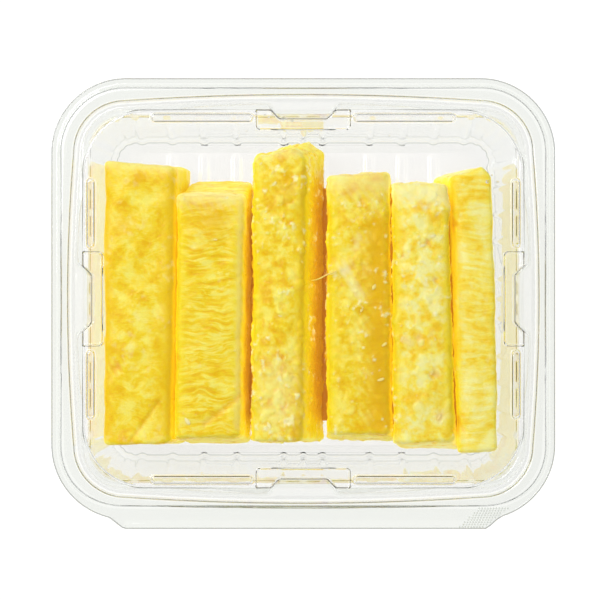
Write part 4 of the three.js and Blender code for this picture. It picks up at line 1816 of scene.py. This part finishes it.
def sweep(
    name: str, points: np.ndarray, radii: np.ndarray, flat: float, sides: int
) -> tuple[bpy.types.Object, NodeShape]:
    """Draws a round or flattened strand along a path.

    Args:
        name: Name of the piece.
        points: Path in mm, one place after another.
        radii: Half width at each place, in mm.
        flat: Height as a share of the width.
        sides: Faces round the strand.

    Returns:
        The path as a piece, and the tree that will turn it into the strand.
    """
    piece = make_mesh(name, points, [])
    piece.data.edges.add(len(points) - 1)
    ends = np.stack([np.arange(len(points) - 1), np.arange(1, len(points))], 1)
    piece.data.edges.foreach_set("vertices", ends.ravel().astype(np.int32))
    piece.data.update()
    store(piece, "half_width", np.asarray(radii) * MM)
    shape = NodeShape(f"sweep_{name}", {"Flatness": flat, "Sides": float(sides)})
    given, add = shape.inputs, shape.add
    curve = add("GeometryNodeMeshToCurve", {0: given["Geometry"]})
    ring = add("GeometryNodeCurvePrimitiveCircle", {0: given["Sides"], "Radius": 1.0})
    squash = add("ShaderNodeCombineXYZ", {"X": 1.0, "Y": given["Flatness"], "Z": 1.0})
    inputs = {
        "Curve": add("GeometryNodeSetCurveNormal", {0: curve}, mode="Z_UP"),
        "Profile Curve": add("GeometryNodeTransform", {"Geometry": ring, "Scale": squash}),
        "Scale": shape.reading("half_width"),
        "Fill Caps": True,
    }
    shape.close(add("GeometryNodeCurveToMesh", inputs))
    return piece, shape


@dataclass(frozen=True)
class JuiceLine:
    """Juice held between two neighbouring spears at one height."""

    left: int
    height: float
    overlap: float = 0.5
    ends: float = 3.5
    flat: float = 0.4
    least_half: float = 0.2
    # Heights in mm and rates of the two waves along it
    waves: tuple = (0.35, 0.25)
    wave_rates: tuple = (0.55, 1.3)
    steps: int = 60

    @staticmethod
    def side_at(spear: Spear, right: bool, y: np.ndarray, z: float) -> np.ndarray:
        """Finds where a spear's long side lies.

        Args:
            spear: The spear.
            right: Whether it is its right side.
            y: Places along the spear.
            z: Height of the cut.

        Returns:
            X at each place, in mm.
        """
        top, bottom = (1, 2) if right else (0, 3)
        across = []
        for end in (spear.near, spear.far):
            high, low = np.array(end[top], dtype=float), np.array(end[bottom], dtype=float)
            across.append(low + (high - low) * (z - low[2]) / (high[2] - low[2]))
        share = (y - across[0][1]) / (across[1][1] - across[0][1])
        return across[0][0] + (across[1][0] - across[0][0]) * share

    def build(self) -> bpy.types.Object:
        """Builds the line of juice.

        Returns:
            The finished piece.
        """
        left, right = SPEARS[self.left - 1], SPEARS[self.left]
        first = max(left.near[1][1], right.near[0][1]) + self.ends
        last = min(left.far[1][1], right.far[0][1]) - self.ends
        y = np.linspace(first, last, self.steps)
        low = self.side_at(left, True, y, self.height)
        high = self.side_at(right, False, y, self.height)
        slow, fast = self.wave_rates
        wave = self.waves[0] * np.sin(y * slow + self.left) + self.waves[1] * np.sin(y * fast)
        half = np.maximum((high - low) / 2, self.least_half) + self.overlap
        name = f"juice_{self.left}_{self.left + 1}"
        path = np.stack([(low + high) / 2, y, self.height + wave], 1)
        piece, shape = sweep(name, path, half, self.flat, 12)
        shape.dress(piece, Juice(f"pooled_{name}"))
        hand_over(piece, f"spear_{self.left}_flesh")
        return piece


JUICE = (
    JuiceLine(1, 21.0),
    JuiceLine(2, 6.5),
    JuiceLine(3, 5.0),
    JuiceLine(4, 21.0),
    JuiceLine(5, 20.5),
)


@dataclass(frozen=True)
class Strand:
    """One torn fibre, loose across the groove between the third and the fourth spear."""

    path: tuple = (
        (3.0, 8.6, 27.9),
        (4.6, 8.7, 28.3),
        (6.4, 9.4, 28.6),
        (8.6, 10.6, 28.9),
        (12.4, 12.2, 29.0),
    )
    steps: int = 24
    wave_mm: float = 0.15
    wave_rate: float = 2.2
    # Half widths in mm, and where along the path's points they lie
    half_widths: tuple = (0.1, 0.2, 0.34)
    width_places: tuple = (0.0, 1.5, 4.0)

    def build(self) -> bpy.types.Object:
        """Builds the strand.

        Returns:
            The finished piece.
        """
        path = np.array(self.path)
        fine = np.linspace(0, len(path) - 1, self.steps)
        points = np.stack([np.interp(fine, np.arange(len(path)), path[:, k]) for k in range(3)], 1)
        points[:, 2] += self.wave_mm * np.sin(fine * self.wave_rate)
        radii = np.interp(fine, self.width_places, self.half_widths)
        piece, shape = sweep("loose_fibre", points, radii, 1.0, 8)
        finish = Flesh("loose_fibre_flesh", middle="#f6d67c", deep="#f0c456", glow=0.0)
        shape.dress(piece, finish)
        hand_over(piece, "spear_4_flesh")
        return piece


def stud(
    name: str, places: np.ndarray, sizes: np.ndarray, tree: NodeShape, form: bpy.types.Node
) -> bpy.types.Object:
    """Sets one small form at each of many places.

    Args:
        name: Name of the piece.
        places: Middle of each copy, in mm.
        sizes: Half sizes in X, Y and Z of each copy, in mm.
        tree: Tree that holds the form, with its turn about Z as an input.
        form: Node that makes the form, 1 from its middle to its outside.

    Returns:
        The places as a piece, on which the closed tree is still to be run.
    """
    piece = make_mesh(name, places, [])
    store(piece, "half_size", np.asarray(sizes) * MM)
    inputs = {
        "Points": tree.add("GeometryNodeMeshToPoints", {0: tree.inputs["Geometry"]}),
        "Instance": form,
        "Rotation": tree.add("ShaderNodeCombineXYZ", {"Z": tree.inputs["Turn"]}),
        "Scale": tree.reading("half_size", "FLOAT_VECTOR"),
    }
    tree.close(tree.add("GeometryNodeInstanceOnPoints", inputs))
    return piece


@dataclass(frozen=True)
class Grip:
    """Small pyramids that give the tear flange its grip."""

    outline: tuple = ((57.4, -81.9), (66.6, -81.9), (75.4, -75.2), (64.6, -75.2))
    pitch: float = 1.05
    row_pitch: float = 0.85
    half: float = 0.46
    height: float = 0.3
    level: float = 36.92

    def build(self) -> bpy.types.Object:
        """Builds the grip.

        Returns:
            The finished piece.
        """
        (x0, y0), (x1, _), (x2, y1), (x3, _) = self.outline
        places = []
        z = self.level + self.height / 2
        rows = round((y1 - y0) / (self.pitch * self.row_pitch))
        for row in range(rows + 1):
            share = row / rows
            start = x0 + (x3 - x0) * share + (row % 2) * self.pitch / 2
            end = x1 + (x2 - x1) * share
            y = y0 + (y1 - y0) * share
            places += [(x, y, z) for x in np.arange(start, end, self.pitch)]
        sizes = np.tile((self.half, self.half, self.height), (len(places), 1))
        tree = NodeShape("grip_pyramids", {"Turn": 0.0})
        inputs = {"Vertices": 4, "Radius Top": 0.0, "Radius Bottom": 1.0, "Depth": 1.0}
        form = tree.add("GeometryNodeMeshCone", inputs)
        lowered = tree.add("GeometryNodeTransform", {0: form, 1: (0.0, 0.0, -0.5)})
        piece = stud("flange_grip", np.array(places), sizes, tree, lowered)
        tree.apply(piece, FormedSheet("grip_sheet", thin="#ebedea").make())
        settle(piece)
        see_through(piece)
        hand_over(piece, "tub_sheet")
        return piece


@dataclass(frozen=True)
class Drops:
    """Beads of condensed water that hang under the lid."""

    beads: tuple = (
        (-7.0, 67.2, 45.2, 0.75),
        (-4.1, 66.5, 45.2, 0.6),
        (-12.6, 67.6, 45.2, 0.4),
        (-13.9, 68.4, 45.2, 0.35),
        (-11.2, 68.2, 45.2, 0.3),
        (66.6, 44.1, 46.4, 0.7),
        (70.2, 44.0, 46.4, 0.55),
        (68.2, 46.4, 46.4, 0.4),
        (-20.5, 62.4, 46.4, 0.35),
        (31.0, 60.8, 46.4, 0.35),
    )
    flatness: tuple = (1.0, 0.9, 0.45)

    def build(self) -> bpy.types.Object:
        """Builds the beads.

        Returns:
            The finished piece.
        """
        table = np.array(self.beads)
        sizes = table[:, 3:] * np.array(self.flatness)
        places = table[:, :3] - np.array([0.0, 0.0, 1.0]) * sizes[:, 2:]
        tree = NodeShape("water_beads", {"Turn": 0.3})
        form = tree.add("GeometryNodeMeshUVSphere", {"Segments": 14, "Rings": 9, "Radius": 1.0})
        piece = stud("water_beads", places, sizes, tree, form)
        tree.dress(piece, Water())
        see_through(piece)
        hand_over(piece, "lid_sheet")
        return piece


# Studio


@dataclass(frozen=True)
class Studio:
    """White table, even light and a camera straight above."""

    camera_spot: tuple = (-1.2, 1.3, 745.0)
    lens: float = 115.8
    table_size: float = 4000.0
    table_glow: float = 0.95
    table_albedo: float = 0.16
    glow_reach: float = 130.0
    glow_fade: float = 150.0
    overhead: float = 0.1
    ring: float = 1.0
    horizon: float = 0.4
    # Low and high ends of the two changes of the sky's light, as heights on a unit sphere
    sky_bands: tuple = ((0.05, 0.6), (0.955, 0.975))
    key_spot: tuple = (-0.58, 0.45, 0.9)
    key_size: float = 0.7
    key_watts: float = 7.5
    edge_glow: float = 0.55
    table_drop: float = 0.2
    sensor: float = 36.0
    clip: tuple = (0.05, 10.0)
    # Light has to pass several walls of clear sheet on its way
    bounces: tuple = (
        ("max_bounces", 32),
        ("transmission_bounces", 24),
        ("glossy_bounces", 8),
        ("diffuse_bounces", 5),
    )

    def build(self) -> None:
        """Builds the table, the light and the camera."""
        self.table()
        self.world()
        self.lights()
        self.camera()
        scene = bpy.context.scene
        scene.view_settings.view_transform = "Standard"
        for kind, most in self.bounces:
            setattr(scene.cycles, kind, most)
        scene.cycles.use_denoising = True

    def table(self) -> None:
        """Builds the table, which glows evenly under the tray and less further out."""
        half = self.table_size / 2
        corners = np.array([(-half, -half), (half, -half), (half, half), (-half, half)])
        points = np.column_stack([corners, np.full(4, -self.table_drop)])
        floor = make_mesh("table", points, [(0, 1, 2, 3)])
        material, tree = new_material("white_table")
        spot = add_node(tree, "ShaderNodeTexCoord").outputs["Object"]
        away = add_node(tree, "ShaderNodeVectorMath", {0: spot}, operation="LENGTH")
        inputs = {
            0: away.outputs["Value"],
            1: self.glow_reach * MM,
            2: (self.glow_reach + self.glow_fade) * MM,
            3: self.table_glow,
            4: self.table_glow * self.edge_glow,
        }
        fade = add_node(tree, "ShaderNodeMapRange", inputs, interpolation_type="SMOOTHSTEP")
        glow = add_node(tree, "ShaderNodeEmission", {"Strength": fade})
        grey = (self.table_albedo,) * 3 + (1.0,)
        matt = add_node(tree, "ShaderNodeBsdfDiffuse", {"Color": grey})
        both = add_node(tree, "ShaderNodeAddShader", {0: glow, 1: matt})
        add_node(tree, "ShaderNodeOutputMaterial", {"Surface": both})
        floor.data.materials.append(material)

    def world(self) -> None:
        """Builds a bright ring of sky, greyer at the horizon and dark round the camera."""
        world = bpy.data.worlds.new("studio")
        bpy.context.scene.world = world
        world.use_nodes = True
        tree = world.node_tree
        tree.nodes.clear()
        spot = add_node(tree, "ShaderNodeTexCoord").outputs["Generated"]
        height = add_node(tree, "ShaderNodeSeparateXYZ", {0: spot}).outputs["Z"]
        light = self.horizon
        for (low, high), level in zip(self.sky_bands, (self.ring, self.overhead)):
            inputs = {0: height, 1: low, 2: high, 3: light, 4: level}
            light = add_node(tree, "ShaderNodeMapRange", inputs, interpolation_type="SMOOTHSTEP")
        sky = add_node(tree, "ShaderNodeBackground", {"Strength": light})
        add_node(tree, "ShaderNodeOutputWorld", {"Surface": sky})

    def lights(self) -> None:
        """Hangs one large soft light to the left behind the tray."""
        data = bpy.data.lights.new("key", "AREA")
        data.shape = "RECTANGLE"
        data.size = data.size_y = self.key_size
        data.energy = self.key_watts
        lamp = bpy.data.objects.new("key", data)
        lamp.location = self.key_spot
        lamp.rotation_mode = "QUATERNION"
        lamp.rotation_quaternion = Vector(lamp.location).to_track_quat("Z", "Y")
        bpy.context.scene.collection.objects.link(lamp)

    def camera(self) -> None:
        """Sets the camera straight above, looking down."""
        data = bpy.data.cameras.new("camera")
        data.lens = self.lens
        data.sensor_width = self.sensor
        data.clip_start, data.clip_end = self.clip
        camera = bpy.data.objects.new("camera", data)
        camera.location = Vector(self.camera_spot) * MM
        bpy.context.scene.collection.objects.link(camera)
        bpy.context.scene.camera = camera


def main() -> None:
    """Builds every piece of the pack and the studio round it."""
    logging.basicConfig(level=logging.INFO, format="%(message)s")
    for part in (Tray(), Lid(), Grip(), Drops(), *SPEARS, *JUICE, Strand(), Studio()):
        part.build()


if __name__ == "__main__":
    main()
